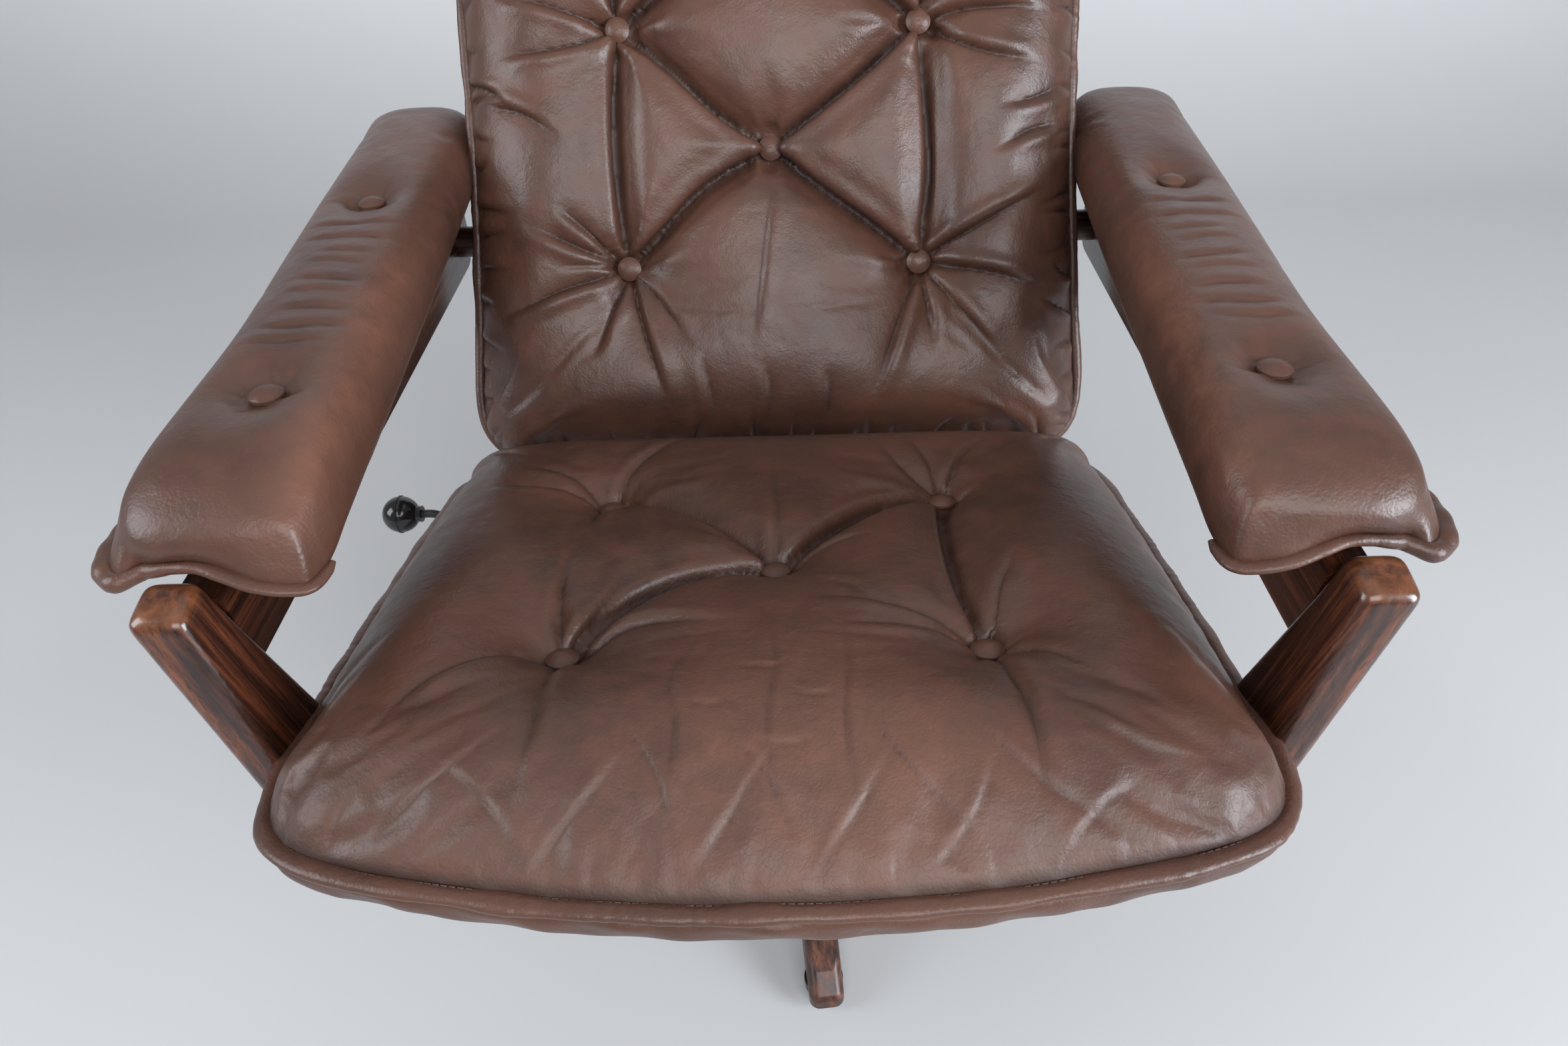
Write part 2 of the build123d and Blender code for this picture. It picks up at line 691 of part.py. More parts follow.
with BuildPart() as arm_buttons:
    for along in ARM_BUTTONS_AT:
        button(pad_top, 0, along, ARM_TUFT_DEPTH)
    mirror(about=Plane.YZ)
pieces["arm_buttons"] = arm_buttons

# Plywood board under each pad
board_run = ARM_LENGTH - ARM_BOARD_FRONT - ARM_BOARD_REAR
with BuildPart() as arm_board_right:
    with BuildSketch(ARM.offset(-SOFT_GAP)):
        with Locations((0, ARM_BOARD_FRONT + board_run / 2)):
            RectangleRounded(ARM_BOARD_WIDTH, board_run, ARM_BOARD_CORNER)
    extrude(amount=-ARM_BOARD_THICKNESS)
with BuildPart() as arm_board_left:
    mirror(arm_board_right.part, about=Plane.YZ)
pieces["arm_board_right"] = arm_board_right
pieces["arm_board_left"] = arm_board_left

# Arm rails: from the rear face of the post to a tail past the stile
post_rear_low = POST_CENTRE_Y + POST_FOOT_DEPTH / 2
post_rear_high = POST_CENTRE_Y + POST_TOP_DEPTH / 2


def rail_start(height):
    """Y of the rail's front end at a height, just behind the post's rear face."""
    post_rear = post_rear_low + (post_rear_high - post_rear_low) * (height - foot_low) / post_run
    return post_rear + POST_SEAT


def board_low(y):
    """Height of the board's underside over the rail."""
    return ARM_FRONT_Z - SOFT_GAP - ARM_BOARD_THICKNESS - BOARD_SEAT + (y - ARM_FRONT_Y) * tan(rise)


rail_front_high = rail_start(board_low(post_rear_high))
tail_y = arm_bolt_point.Y + ARM_RAIL_TAIL
with BuildPart() as arm_rail_right:
    with BuildSketch(Plane.YZ.offset(ARM_RAIL_INNER_X)) as profile:
        with BuildLine():
            Polyline(
                (rail_start(ARM_RAIL_LOW_Z), ARM_RAIL_LOW_Z),
                (tail_y, ARM_RAIL_LOW_Z),
                (tail_y, board_low(tail_y)),
                (rail_front_high, board_low(rail_front_high)),
                close=True,
            )
        make_face()
        fillet(profile.vertices().sort_by(Axis.X)[-2:].sort_by(Axis.Y)[0], ARM_RAIL_ROUND)
    extrude(amount=ARM_RAIL_THICKNESS)
    with BuildSketch(Plane.YZ.offset(ARM_RAIL_INNER_X)):
        with Locations((arm_bolt_point.Y, arm_bolt_point.Z)):
            Circle(bolt_hole)
    extrude(amount=ARM_RAIL_THICKNESS, mode=Mode.SUBTRACT)
with BuildPart() as arm_rail_left:
    mirror(arm_rail_right.part, about=Plane.YZ)
pieces["arm_rail_right"] = arm_rail_right
pieces["arm_rail_left"] = arm_rail_left

# Turned spacers and through bolts between each arm rail and its stile
with BuildPart() as arm_spacers:
    for side in (1, -1):
        with BuildSketch(Plane.YZ.offset(side * FRAME_HALF_WIDTH)):
            with Locations((arm_bolt_point.Y, arm_bolt_point.Z)):
                Circle(ARM_SPACER_DIAMETER / 2)
                Circle(bolt_hole, mode=Mode.SUBTRACT)
        extrude(amount=side * (ARM_RAIL_INNER_X - FRAME_HALF_WIDTH))
pieces["arm_spacers"] = arm_spacers

arm_bolt_length = ARM_RAIL_INNER_X + ARM_RAIL_THICKNESS - rail_inner
with BuildPart() as arm_bolts:
    for side in (1, -1):
        face = side * (ARM_RAIL_INNER_X + ARM_RAIL_THICKNESS)
        for radius, reach in (
            (BOLT_HEAD / 2, BOLT_HEAD_HEIGHT),
            (BOLT_DIAMETER / 2, -arm_bolt_length),
        ):
            with BuildSketch(Plane.YZ.offset(face)):
                with Locations((arm_bolt_point.Y, arm_bolt_point.Z)):
                    Circle(radius)
            extrude(amount=side * reach)
pieces["arm_bolts"] = arm_bolts

# Base hub: a tube with two flanges that clamp the leg roots
hub_low = LEG_ROOT_LOW - FLANGE_THICKNESS
leg_root_high = LEG_ROOT_LOW + LEG_ROOT_HEIGHT
leg_angles = [LEG_TURN + 360 / LEG_COUNT * leg for leg in range(LEG_COUNT)]
leg_bolt_places = [
    (radius * cos(radians(angle)), radius * sin(radians(angle)))
    for angle in leg_angles
    for radius in LEG_BOLT_RADII
]
with BuildPart() as base_hub:
    with BuildSketch(Plane.XY.offset(hub_low)):
        Circle(HUB_DIAMETER / 2)
    extrude(amount=HUB_TOP - hub_low)
    for level in (hub_low, leg_root_high):
        with BuildSketch(Plane.XY.offset(level)):
            Circle(FLANGE_DIAMETER / 2)
        extrude(amount=FLANGE_THICKNESS)
    with BuildSketch(Plane.XY.offset(hub_low)):
        Circle(HUB_BORE / 2)
    extrude(amount=HUB_TOP - hub_low, mode=Mode.SUBTRACT)
    with BuildSketch(Plane.XY.offset(hub_low)):
        with Locations(*leg_bolt_places):
            Circle(bolt_hole)
    extrude(amount=FLANGE_THICKNESS, mode=Mode.SUBTRACT)
pieces["base_hub"] = base_hub

# One leg along +X: a flat root between the flanges, an arched arm and a foot over the glide
leg_root = HUB_DIAMETER / 2 + SOFT_GAP
leg_arch = FLANGE_DIAMETER / 2 + SOFT_GAP
leg_foot = LEG_REACH - 2 * GLIDE_INSET
leg_shoulder = (LEG_REACH - LEG_TIP_RUN, LEG_TIP_TOP)
leg_nose = (LEG_REACH, LEG_TIP_TOP - GLIDE_HEIGHT)
with BuildPart() as leg_form:
    with BuildSketch(Plane.XZ) as profile:
        with BuildLine():
            Line((leg_root, leg_root_high), (leg_arch, leg_root_high))
            TangentArc((leg_arch, leg_root_high), leg_shoulder, tangent=(1, -LEG_FALL))
            Line(leg_shoulder, leg_nose)
            Line(leg_nose, (LEG_REACH, GLIDE_HEIGHT))
            Line((LEG_REACH, GLIDE_HEIGHT), (leg_foot, GLIDE_HEIGHT))
            TangentArc((leg_foot, GLIDE_HEIGHT), (leg_arch, LEG_ROOT_LOW), tangent=(-1, LEG_LIFT))
            Line((leg_arch, LEG_ROOT_LOW), (leg_root, LEG_ROOT_LOW))
            Line((leg_root, LEG_ROOT_LOW), (leg_root, leg_root_high))
        make_face()
        fillet(profile.vertices().sort_by(Axis.X)[-2:].sort_by(Axis.Y)[-1], LEG_TIP_ROUND)
    extrude(amount=LEG_WIDTH / 2, both=True)
    fillet(leg_form.edges().filter_by(Axis.Z).sort_by(Axis.X)[-2:], LEG_TIP_EDGE)
    with BuildSketch(Plane.XY.offset(LEG_ROOT_LOW)):
        with Locations(*[(radius, 0) for radius in LEG_BOLT_RADII]):
            Circle(bolt_hole)
    extrude(amount=BOLT_BITE - FLANGE_THICKNESS, mode=Mode.SUBTRACT)

for number, angle in enumerate(leg_angles, start=1):
    with BuildPart() as base_leg:
        add(leg_form.part, rotation=(0, 0, angle))
    pieces[f"base_leg_{number}"] = base_leg

with BuildPart() as base_glides:
    with BuildSketch():
        with PolarLocations(LEG_REACH - GLIDE_INSET, LEG_COUNT, start_angle=LEG_TURN):
            Circle(GLIDE_DIAMETER / 2)
    extrude(amount=GLIDE_HEIGHT)
    chamfer(base_glides.edges().group_by(Axis.Z)[0], GLIDE_CHAMFER)
pieces["base_glides"] = base_glides

with BuildPart() as leg_bolts:
    for radius, reach in ((BOLT_HEAD / 2, -BOLT_HEAD_HEIGHT), (BOLT_DIAMETER / 2, BOLT_BITE)):
        with BuildSketch(Plane.XY.offset(hub_low)):
            with Locations(*leg_bolt_places):
                Circle(radius)
        extrude(amount=reach)
pieces["leg_bolts"] = leg_bolts

# Swivel bearing: flanged bushes in the hub, spindle, thrust washer and retaining clip
for name, face, grow in (("upper_bush", HUB_TOP, -1), ("lower_bush", hub_low, 1)):
    with BuildPart() as bush:
        with BuildSketch(Plane.XY.offset(face)):
            Circle(HUB_BORE / 2)
        extrude(amount=grow * BUSH_LENGTH)
        with BuildSketch(Plane.XY.offset(face)):
            Circle(BUSH_FLANGE_DIAMETER / 2)
        extrude(amount=-grow * BUSH_FLANGE)
        with BuildSketch(Plane.XY.offset(face - grow * BUSH_FLANGE)):
            Circle(SPINDLE_DIAMETER / 2 + RUNNING)
        extrude(amount=grow * (BUSH_LENGTH + BUSH_FLANGE), mode=Mode.SUBTRACT)
    pieces[name] = bush

washer_low = HUB_TOP + BUSH_FLANGE + RUNNING
plate_low = washer_low + WASHER_THICKNESS
plate_high = plate_low + HOUSING_PLATE
clip_high = hub_low - BUSH_FLANGE - SOFT_GAP
with BuildPart() as spindle:
    with BuildSketch(Plane.XY.offset(SPINDLE_LOW)):
        Circle(SPINDLE_DIAMETER / 2)
    extrude(amount=plate_high - SPINDLE_LOW)
    with BuildSketch(Plane.XY.offset(clip_high - CLIP_THICKNESS)):
        Circle(SPINDLE_DIAMETER / 2)
        Circle(SPINDLE_DIAMETER / 2 - CLIP_GROOVE, mode=Mode.SUBTRACT)
    extrude(amount=CLIP_THICKNESS, mode=Mode.SUBTRACT)
    chamfer(spindle.edges().group_by(Axis.Z)[0], CLIP_GROOVE)
pieces["spindle"] = spindle

with BuildPart() as thrust_washer:
    with BuildSketch(Plane.XY.offset(washer_low)):
        Circle(WASHER_DIAMETER / 2)
        Circle(SPINDLE_DIAMETER / 2 + RUNNING, mode=Mode.SUBTRACT)
    extrude(amount=WASHER_THICKNESS)
pieces["thrust_washer"] = thrust_washer

with BuildPart() as retaining_clip:
    with BuildSketch(Plane.XY.offset(clip_high - CLIP_THICKNESS)):
        Circle(CLIP_DIAMETER / 2)
        Circle(SPINDLE_DIAMETER / 2 - CLIP_GROOVE, mode=Mode.SUBTRACT)
        with Locations((CLIP_DIAMETER / 2, 0)):
            Rectangle(CLIP_DIAMETER, CLIP_SLOT, mode=Mode.SUBTRACT)
    extrude(amount=CLIP_THICKNESS)
pieces["retaining_clip"] = retaining_clip

# Tilt housing: a channel on the spindle, with two cheeks that carry the axle
axle = SEAT.from_local_coords((0, AXLE_ALONG, -AXLE_BELOW))
cheek_inner = CHEEK_GAP / 2
cheek_outer = cheek_inner + HOUSING_PLATE
straight_down = -90
stop_start = straight_down - SEAT_SLOPE
SIDE = Plane((0, axle.Y, axle.Z), x_dir=(0, 1, 0), z_dir=(1, 0, 0))


def polar(radius, angle):
    """Point at a radius and an angle about the axle, from the level line to the rear."""
    return (radius * cos(radians(angle)), radius * sin(radians(angle)))


with BuildLine() as stop_path:
    CenterArc((0, 0), STOP_RADIUS, stop_start - TILT_BACK, TILT_BACK)
with BuildPart() as tilt_housing:
    with BuildSketch(Plane.XY.offset(plate_low)):
        with Locations((0, (HOUSING_FRONT + HOUSING_REAR) / 2)):
            Rectangle(2 * cheek_outer, HOUSING_REAR - HOUSING_FRONT)
        Circle(SPINDLE_DIAMETER / 2, mode=Mode.SUBTRACT)
    extrude(amount=HOUSING_PLATE)
    for face, grow in ((cheek_inner, 1), (-cheek_inner, -1)):
        with BuildSketch(SIDE.offset(face)):
            Circle(CHEEK_CROWN)
            with Locations((
                (HOUSING_FRONT + HOUSING_REAR) / 2 - axle.Y,
                plate_high - axle.Z + HOUSING_PLATE / 2,
            )):
                Rectangle(HOUSING_REAR - HOUSING_FRONT, HOUSING_PLATE)
            make_hull()
        extrude(amount=grow * HOUSING_PLATE)
        with BuildSketch(SIDE.offset(face)):
            Circle(AXLE_DIAMETER / 2)
            SlotArc(stop_path.edge(), STOP_PIN_DIAMETER + 2 * SLOT_PLAY)
        extrude(amount=grow * HOUSING_PLATE, mode=Mode.SUBTRACT)
    with BuildSketch(Plane.XY.offset(plate_high)):
        with Locations((SPRING_X, SPRING_Y), (-SPRING_X, SPRING_Y)):
            Circle((SPRING_DIAMETER - SPRING_WIRE) / 2 - SIDE_PLAY)
    extrude(amount=SPRING_BOSS_HEIGHT)
pieces["tilt_housing"] = tilt_housing

# Tilt axle, held in the cheeks by a clip at each end
clip_end = cheek_outer + AXLE_CLIP_THICKNESS
with BuildPart() as tilt_axle:
    with BuildSketch(SIDE):
        Circle(AXLE_DIAMETER / 2)
    extrude(amount=clip_end + AXLE_END, both=True)
    for face, grow in ((cheek_outer, 1), (-cheek_outer, -1)):
        with BuildSketch(SIDE.offset(face)):
            Circle(AXLE_DIAMETER / 2)
            Circle(AXLE_DIAMETER / 2 - AXLE_GROOVE, mode=Mode.SUBTRACT)
        extrude(amount=grow * AXLE_CLIP_THICKNESS, mode=Mode.SUBTRACT)
pieces["tilt_axle"] = tilt_axle

with BuildPart() as axle_clips:
    for face, grow in ((cheek_outer, 1), (-cheek_outer, -1)):
        with BuildSketch(SIDE.offset(face)):
            Circle(AXLE_CLIP_DIAMETER / 2)
            Circle(AXLE_DIAMETER / 2 - AXLE_GROOVE, mode=Mode.SUBTRACT)
            with Locations((0, -AXLE_CLIP_DIAMETER / 2)):
                Rectangle(AXLE_CLIP_SLOT, AXLE_CLIP_DIAMETER, mode=Mode.SUBTRACT)
        extrude(amount=grow * AXLE_CLIP_THICKNESS)
pieces["axle_clips"] = axle_clips

# Notched sector on the left cheek, one notch at each held angle
notch_angles = [-SEAT_SLOPE - NOTCH_STEP * step for step in range(round(TILT_BACK / NOTCH_STEP) + 1)]
sector_screws_at = [polar(SECTOR_SCREW_RADIUS, angle) for angle in SECTOR_SCREW_ANGLES]
with BuildPart() as lock_sector:
    with BuildSketch(SIDE.offset(-cheek_outer)):
        with BuildLine():
            CenterArc((0, 0), SECTOR_RADIUS, SECTOR_TO, SECTOR_FROM - SECTOR_TO)
            Line(polar(SECTOR_RADIUS, SECTOR_FROM), polar(SECTOR_INNER, SECTOR_FROM))
            CenterArc((0, 0), SECTOR_INNER, SECTOR_TO, SECTOR_FROM - SECTOR_TO)
            Line(polar(SECTOR_INNER, SECTOR_TO), polar(SECTOR_RADIUS, SECTOR_TO))
        make_face()
        for angle in notch_angles:
            with PolarLocations(SECTOR_RADIUS, 1, start_angle=angle):
                Rectangle(2 * NOTCH_DEPTH, LEVER_THICKNESS + 2 * NOTCH_PLAY, mode=Mode.SUBTRACT)
        with Locations(*sector_screws_at):
            Circle(screw_hole, mode=Mode.SUBTRACT)
    extrude(amount=-SECTOR_THICKNESS)
pieces["lock_sector"] = lock_sector

with BuildPart() as sector_screws:
    for radius, reach in (
        (SCREW_HEAD / 2, -SCREW_HEAD_HEIGHT),
        (SCREW_DIAMETER / 2, SECTOR_THICKNESS),
    ):
        with BuildSketch(SIDE.offset(-cheek_outer - SECTOR_THICKNESS)):
            with Locations(*sector_screws_at):
                Circle(radius)
        extrude(amount=reach)
pieces["sector_screws"] = sector_screws

# Tilt plate under the seat frame: spring pads, ears on the axle, and the stop pin's ears
plate_face = rail_low - TILT_PLATE_THICKNESS
plate_over_spring = axle.Z + (AXLE_BELOW + plate_face) / cos(slope) - (SPRING_Y - axle.Y) * tan(slope)
spring_top = plate_over_spring - SPRING_PAD_DROP
ear_outer = cheek_inner - SIDE_PLAY
plate_screws_at = [
    (x, along)
    for x in (-plate_screw_x, plate_screw_x)
    for along in (CROSS_RAIL_AT, REAR_RAIL_AT)
]
lever_along = AXLE_ALONG + LEVER_AHEAD
with BuildPart() as tilt_plate:
    with BuildSketch(Plane.XY.offset(spring_top)):
        with Locations((SPRING_X, SPRING_Y), (-SPRING_X, SPRING_Y)):
            Circle(SPRING_DIAMETER / 2 + SPRING_WIRE / 2)
    extrude(amount=2 * SPRING_PAD_DROP)
    split(bisect_by=SEAT.offset(plate_face), keep=Keep.BOTTOM)
    with BuildSketch(SEAT.offset(plate_face)):
        with Locations((0, (TILT_PLATE_FRONT + TILT_PLATE_REAR) / 2)):
            RectangleRounded(TILT_PLATE_WIDTH, TILT_PLATE_REAR - TILT_PLATE_FRONT, TILT_PLATE_CORNER)
        with Locations(*plate_screws_at):
            Circle(screw_hole, mode=Mode.SUBTRACT)
    extrude(amount=TILT_PLATE_THICKNESS)
    for face, grow in ((ear_outer, -1), (-ear_outer, 1)):
        with BuildSketch(side_view(SEAT, face)):
            with Locations((AXLE_ALONG, plate_face - EAR_ROOT_BAND / 2)):
                Rectangle(EAR_ROOT, EAR_ROOT_BAND)
            with Locations((AXLE_ALONG, -AXLE_BELOW)):
                Circle(EAR_RADIUS)
            with Locations((AXLE_ALONG, -AXLE_BELOW - STOP_RADIUS)):
                Circle(STOP_EAR_RADIUS)
            make_hull()
        extrude(amount=grow * EAR_THICKNESS)
        with BuildSketch(side_view(SEAT, face)):
            with Locations((AXLE_ALONG, -AXLE_BELOW)):
                Circle(TILT_BUSH_DIAMETER / 2)
            with Locations((AXLE_ALONG, -AXLE_BELOW - STOP_RADIUS)):
                Circle(STOP_PIN_DIAMETER / 2)
        extrude(amount=grow * EAR_THICKNESS, mode=Mode.SUBTRACT)
pieces["tilt_plate"] = tilt_plate

with BuildPart() as tilt_bushes:
    for face, grow in ((ear_outer, -1), (-ear_outer, 1)):
        with BuildSketch(SIDE.offset(face)):
            Circle(TILT_BUSH_DIAMETER / 2)
            Circle(AXLE_DIAMETER / 2 + RUNNING, mode=Mode.SUBTRACT)
        extrude(amount=grow * EAR_THICKNESS)
        with BuildSketch(SIDE.offset(face + grow * EAR_THICKNESS)):
            Circle(TILT_BUSH_FLANGE / 2)
            Circle(AXLE_DIAMETER / 2 + RUNNING, mode=Mode.SUBTRACT)
        extrude(amount=grow * TILT_BUSH_RIM)
pieces["tilt_bushes"] = tilt_bushes

with BuildPart() as stop_pin:
    with BuildSketch(side_view(SEAT, 0)):
        with Locations((AXLE_ALONG, -AXLE_BELOW - STOP_RADIUS)):
            Circle(STOP_PIN_DIAMETER / 2)
    extrude(amount=clip_end + AXLE_END, both=True)
    chamfer(stop_pin.edges().filter_by(GeomType.CIRCLE), PIN_CHAMFER)
pieces["stop_pin"] = stop_pin

with BuildPart() as plate_screws:
    for radius, reach in (
        (SCREW_HEAD / 2, -SCREW_HEAD_HEIGHT),
        (SCREW_DIAMETER / 2, TILT_PLATE_THICKNESS + SCREW_BITE),
    ):
        with BuildSketch(SEAT.offset(plate_face)):
            with Locations(*plate_screws_at):
                Circle(radius)
        extrude(amount=reach)
pieces["plate_screws"] = plate_screws


# Tilt springs: each quarter turn of the coil is two arcs that share their tangents
def coil_point(turn, low, pitch):
    """Point and direction on the coil after a number of turns."""
    angle = 2 * pi * turn
    radius = SPRING_DIAMETER / 2
    point = Vector(radius * cos(angle), radius * sin(angle), low + pitch * turn)
    return point, Vector(-radius * sin(angle), radius * cos(angle), pitch / (2 * pi)).normalized()


def biarc_joint(start, start_way, end, end_way):
    """Point and direction where two arcs that leave start and reach end along their ways meet."""
    chord = end - start
    spread = 2 * (1 - start_way.dot(end_way))
    along = chord.dot(start_way + end_way)
    reach = (sqrt(along ** 2 + spread * chord.dot(chord)) - along) / spread
    before = start + start_way * reach
    after = end - end_way * reach
    return (before + after) / 2, after - before


spring_low = plate_high + SOFT_GAP + SPRING_WIRE / 2
spring_pitch = (spring_top - SOFT_GAP - SPRING_WIRE / 2 - spring_low) / SPRING_TURNS
with BuildPart() as spring_form:
    with BuildLine():
        for quarter in range(4 * SPRING_TURNS):
            start, start_way = coil_point(quarter / 4, spring_low, spring_pitch)
            end, end_way = coil_point((quarter + 1) / 4, spring_low, spring_pitch)
            joint, joint_way = biarc_joint(start, start_way, end, end_way)
            TangentArc(start, joint, tangent=start_way)
            TangentArc(joint, end, tangent=joint_way)
    first, first_way = coil_point(0, spring_low, spring_pitch)
    with BuildSketch(Plane(first, z_dir=first_way)):
        Circle(SPRING_WIRE / 2)
    sweep()
for name, x in (("tilt_spring_right", SPRING_X), ("tilt_spring_left", -SPRING_X)):
    with BuildPart() as tilt_spring:
        with Locations((x, SPRING_Y, 0)):
            add(spring_form.part)
    pieces[name] = tilt_spring

coil_samples = [
    coil_point(step / COIL_SAMPLES, spring_low, spring_pitch)[0]
    for step in range(COIL_SAMPLES * SPRING_TURNS + 1)
]
coil_gap = min(
    (coil_samples[second] - coil_samples[first]).length
    for first in range(len(coil_samples))
    for second in range(first + COIL_SAMPLES // 2, len(coil_samples))
) - SPRING_WIRE
print(f"least gap of a spring to itself: {coil_gap:.2f} mm")

# Lock lever: a flat plate with the tooth on a pivot, and a cranked rod out to the knob
lever_face = -AXLE_BELOW - LEVER_THICKNESS / 2
tooth_x = -(cheek_outer + SECTOR_THICKNESS / 2 + TOOTH_LEAD)
tooth_tip = AXLE_ALONG + SECTOR_RADIUS + TOOTH_CLEAR
rod_start = LEVER_PIVOT_X - LEVER_PLATE_END
knob_level = ROD_RISE - AXLE_BELOW
with BuildPart() as lock_lever:
    with BuildSketch(SEAT.offset(lever_face)):
        with Locations((LEVER_PIVOT_X - LEVER_PLATE_END / 2, lever_along)):
            SlotCenterToCenter(LEVER_PLATE_END, LEVER_WIDTH)
        with Locations((tooth_x, (tooth_tip + lever_along) / 2)):
            Rectangle(TOOTH_WIDTH, lever_along - tooth_tip)
    extrude(amount=LEVER_THICKNESS)
    with BuildLine(cross_view(SEAT, 0, lever_along)):
        FilletPolyline(
            (rod_start, -AXLE_BELOW),
            (-ROD_TURN_X, -AXLE_BELOW),
            (-ROD_TURN_X - ROD_RUN, knob_level),
            (-KNOB_X, knob_level),
            radius=ROD_BEND,
        )
    rod_root = SEAT.from_local_coords((rod_start, lever_along, -AXLE_BELOW))
    with BuildSketch(Plane(rod_root, z_dir=(-1, 0, 0))):
        Circle(ROD_DIAMETER / 2)
    sweep()
    with BuildSketch(SEAT.offset(lever_face)):
        with Locations((LEVER_PIVOT_X, lever_along)):
            Circle(PIVOT_DIAMETER / 2 + RUNNING)
    extrude(amount=LEVER_THICKNESS, mode=Mode.SUBTRACT)
pieces["lock_lever"] = lock_lever

# Ball knob with a moulding ring and a neck, bored for the rod
KNOB = Plane(SEAT.from_local_coords((-KNOB_X, lever_along, knob_level)), z_dir=(1, 0, 0))
ball = KNOB_DIAMETER / 2
with BuildPart() as lever_knob:
    with BuildSketch(KNOB):
        Circle(KNOB_NECK / 2)
    extrude(amount=ball + KNOB_NECK_LENGTH)
    with Locations(KNOB):
        Sphere(ball)
        Cylinder(ball + KNOB_RING, 2 * KNOB_RING)
    with BuildSketch(KNOB):
        Circle(ROD_DIAMETER / 2 + BOLT_CLEARANCE)
    extrude(amount=2 * ball, mode=Mode.SUBTRACT)
pieces["lever_knob"] = lever_knob

with BuildPart() as lever_pivot:
    with BuildSketch(SEAT.offset(plate_face)):
        with Locations((LEVER_PIVOT_X, lever_along)):
            Circle(PIVOT_DIAMETER / 2)
    extrude(amount=lever_face - SOFT_GAP - plate_face)
    with BuildSketch(SEAT.offset(plate_face)):
        with Locations((LEVER_PIVOT_X, lever_along)):
            Circle(PIVOT_HEAD_DIAMETER / 2)
    extrude(amount=lever_face + LEVER_THICKNESS + SOFT_GAP - plate_face)
    with BuildSketch(SEAT.offset(lever_face - SOFT_GAP)):
        with Locations((LEVER_PIVOT_X, lever_along)):
            Circle(PIVOT_HEAD_DIAMETER / 2)
    extrude(amount=-PIVOT_HEAD)
pieces["lever_pivot"] = lever_pivot

os.makedirs("parts", exist_ok=True)
for name, piece in pieces.items():
    piece.part.label = name
    export_step(piece.part, f"parts/{name}.step")
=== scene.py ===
"""Dresses a swivel recliner: tufted leather cushions and arms, stained wood, steel and moulded plastic.

Metres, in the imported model's frame: the floor is z = 0 and the chair faces -Y.
Cushions and arm pads are inflated by cloth simulation, then creased, welted and stitched.
"""

from math import cos, pi, radians, sin

import bpy
import numpy as np
from mathutils import Matrix, Vector


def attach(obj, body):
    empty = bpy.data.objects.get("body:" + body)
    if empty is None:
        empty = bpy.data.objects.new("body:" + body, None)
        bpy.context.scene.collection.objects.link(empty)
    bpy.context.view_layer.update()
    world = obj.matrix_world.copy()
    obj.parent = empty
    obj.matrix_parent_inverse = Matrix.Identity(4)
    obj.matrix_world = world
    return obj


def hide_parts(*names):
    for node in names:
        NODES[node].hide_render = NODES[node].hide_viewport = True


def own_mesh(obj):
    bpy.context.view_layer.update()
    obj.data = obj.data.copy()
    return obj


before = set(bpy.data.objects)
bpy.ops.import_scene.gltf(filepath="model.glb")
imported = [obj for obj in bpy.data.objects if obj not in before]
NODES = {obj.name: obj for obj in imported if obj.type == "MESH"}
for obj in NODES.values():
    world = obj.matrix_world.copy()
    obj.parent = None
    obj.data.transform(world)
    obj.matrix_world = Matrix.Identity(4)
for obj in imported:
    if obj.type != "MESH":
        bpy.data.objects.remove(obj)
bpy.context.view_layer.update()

# Planes of the seat, back and arms, and the buttons on them, as the solids have them
SEAT_ORIGIN = (0.0, -0.300, 0.425)
SEAT_SLOPE = radians(12.0)
BACK_ORIGIN = (0.0, 0.142, 0.479)
BACK_LEAN = radians(28.2)
ARM_ORIGIN = (0.305, -0.314, 0.507)
ARM_TOE_OUT = radians(3.7)
ARM_RISE = radians(1.75)
ARM_SIZE = (0.108, 0.629, 0.062)
BUTTON_X = 0.135
SEAT_PITCH = 0.215
BACK_PITCH = 0.209
SEAM_LEVEL = -0.035
BUTTON_RADIUS = 0.011
TUFT_SEAT = -0.005
ARM_TUFT_SEAT = ARM_SIZE[2] - 0.008

SEAT_BUTTONS = [
    (-BUTTON_X, 0.0), (BUTTON_X, 0.0), (0.0, SEAT_PITCH / 2), (-BUTTON_X, SEAT_PITCH), (BUTTON_X, SEAT_PITCH),
]
BACK_BUTTONS = [
    (-BUTTON_X, 0.0), (BUTTON_X, 0.0), (0.0, BACK_PITCH / 2), (-BUTTON_X, BACK_PITCH), (BUTTON_X, BACK_PITCH),
    (0.0, 1.5 * BACK_PITCH), (-BUTTON_X, 2 * BACK_PITCH), (BUTTON_X, 2 * BACK_PITCH),
]
ARM_BUTTONS = [(ARM_SIZE[0] / 2, 0.109), (ARM_SIZE[0] / 2, 0.394)]

# Cloth simulation
VOXEL = 0.005
LAST_FRAME = 20
LEATHER_CLOTH = {
    "quality": 4, "mass": 0.3, "tension_stiffness": 12, "compression_stiffness": 12, "shear_stiffness": 4,
    "bending_stiffness": 0.4, "use_pressure": True, "uniform_pressure_force": 4.0,
    "vertex_group_mass": "held",
}
CUSHION_CAP = 0.024
PAD_CAP = 0.012


def axes_at(origin, across, along):
    """Matrix of a piece's own axes: across it, along it and out of its face."""
    across = Vector(across).normalized()
    along = Vector(along).normalized()
    out = across.cross(along)
    place = Matrix((across, along, out)).transposed().to_4x4()
    place.translation = Vector(origin)
    return place


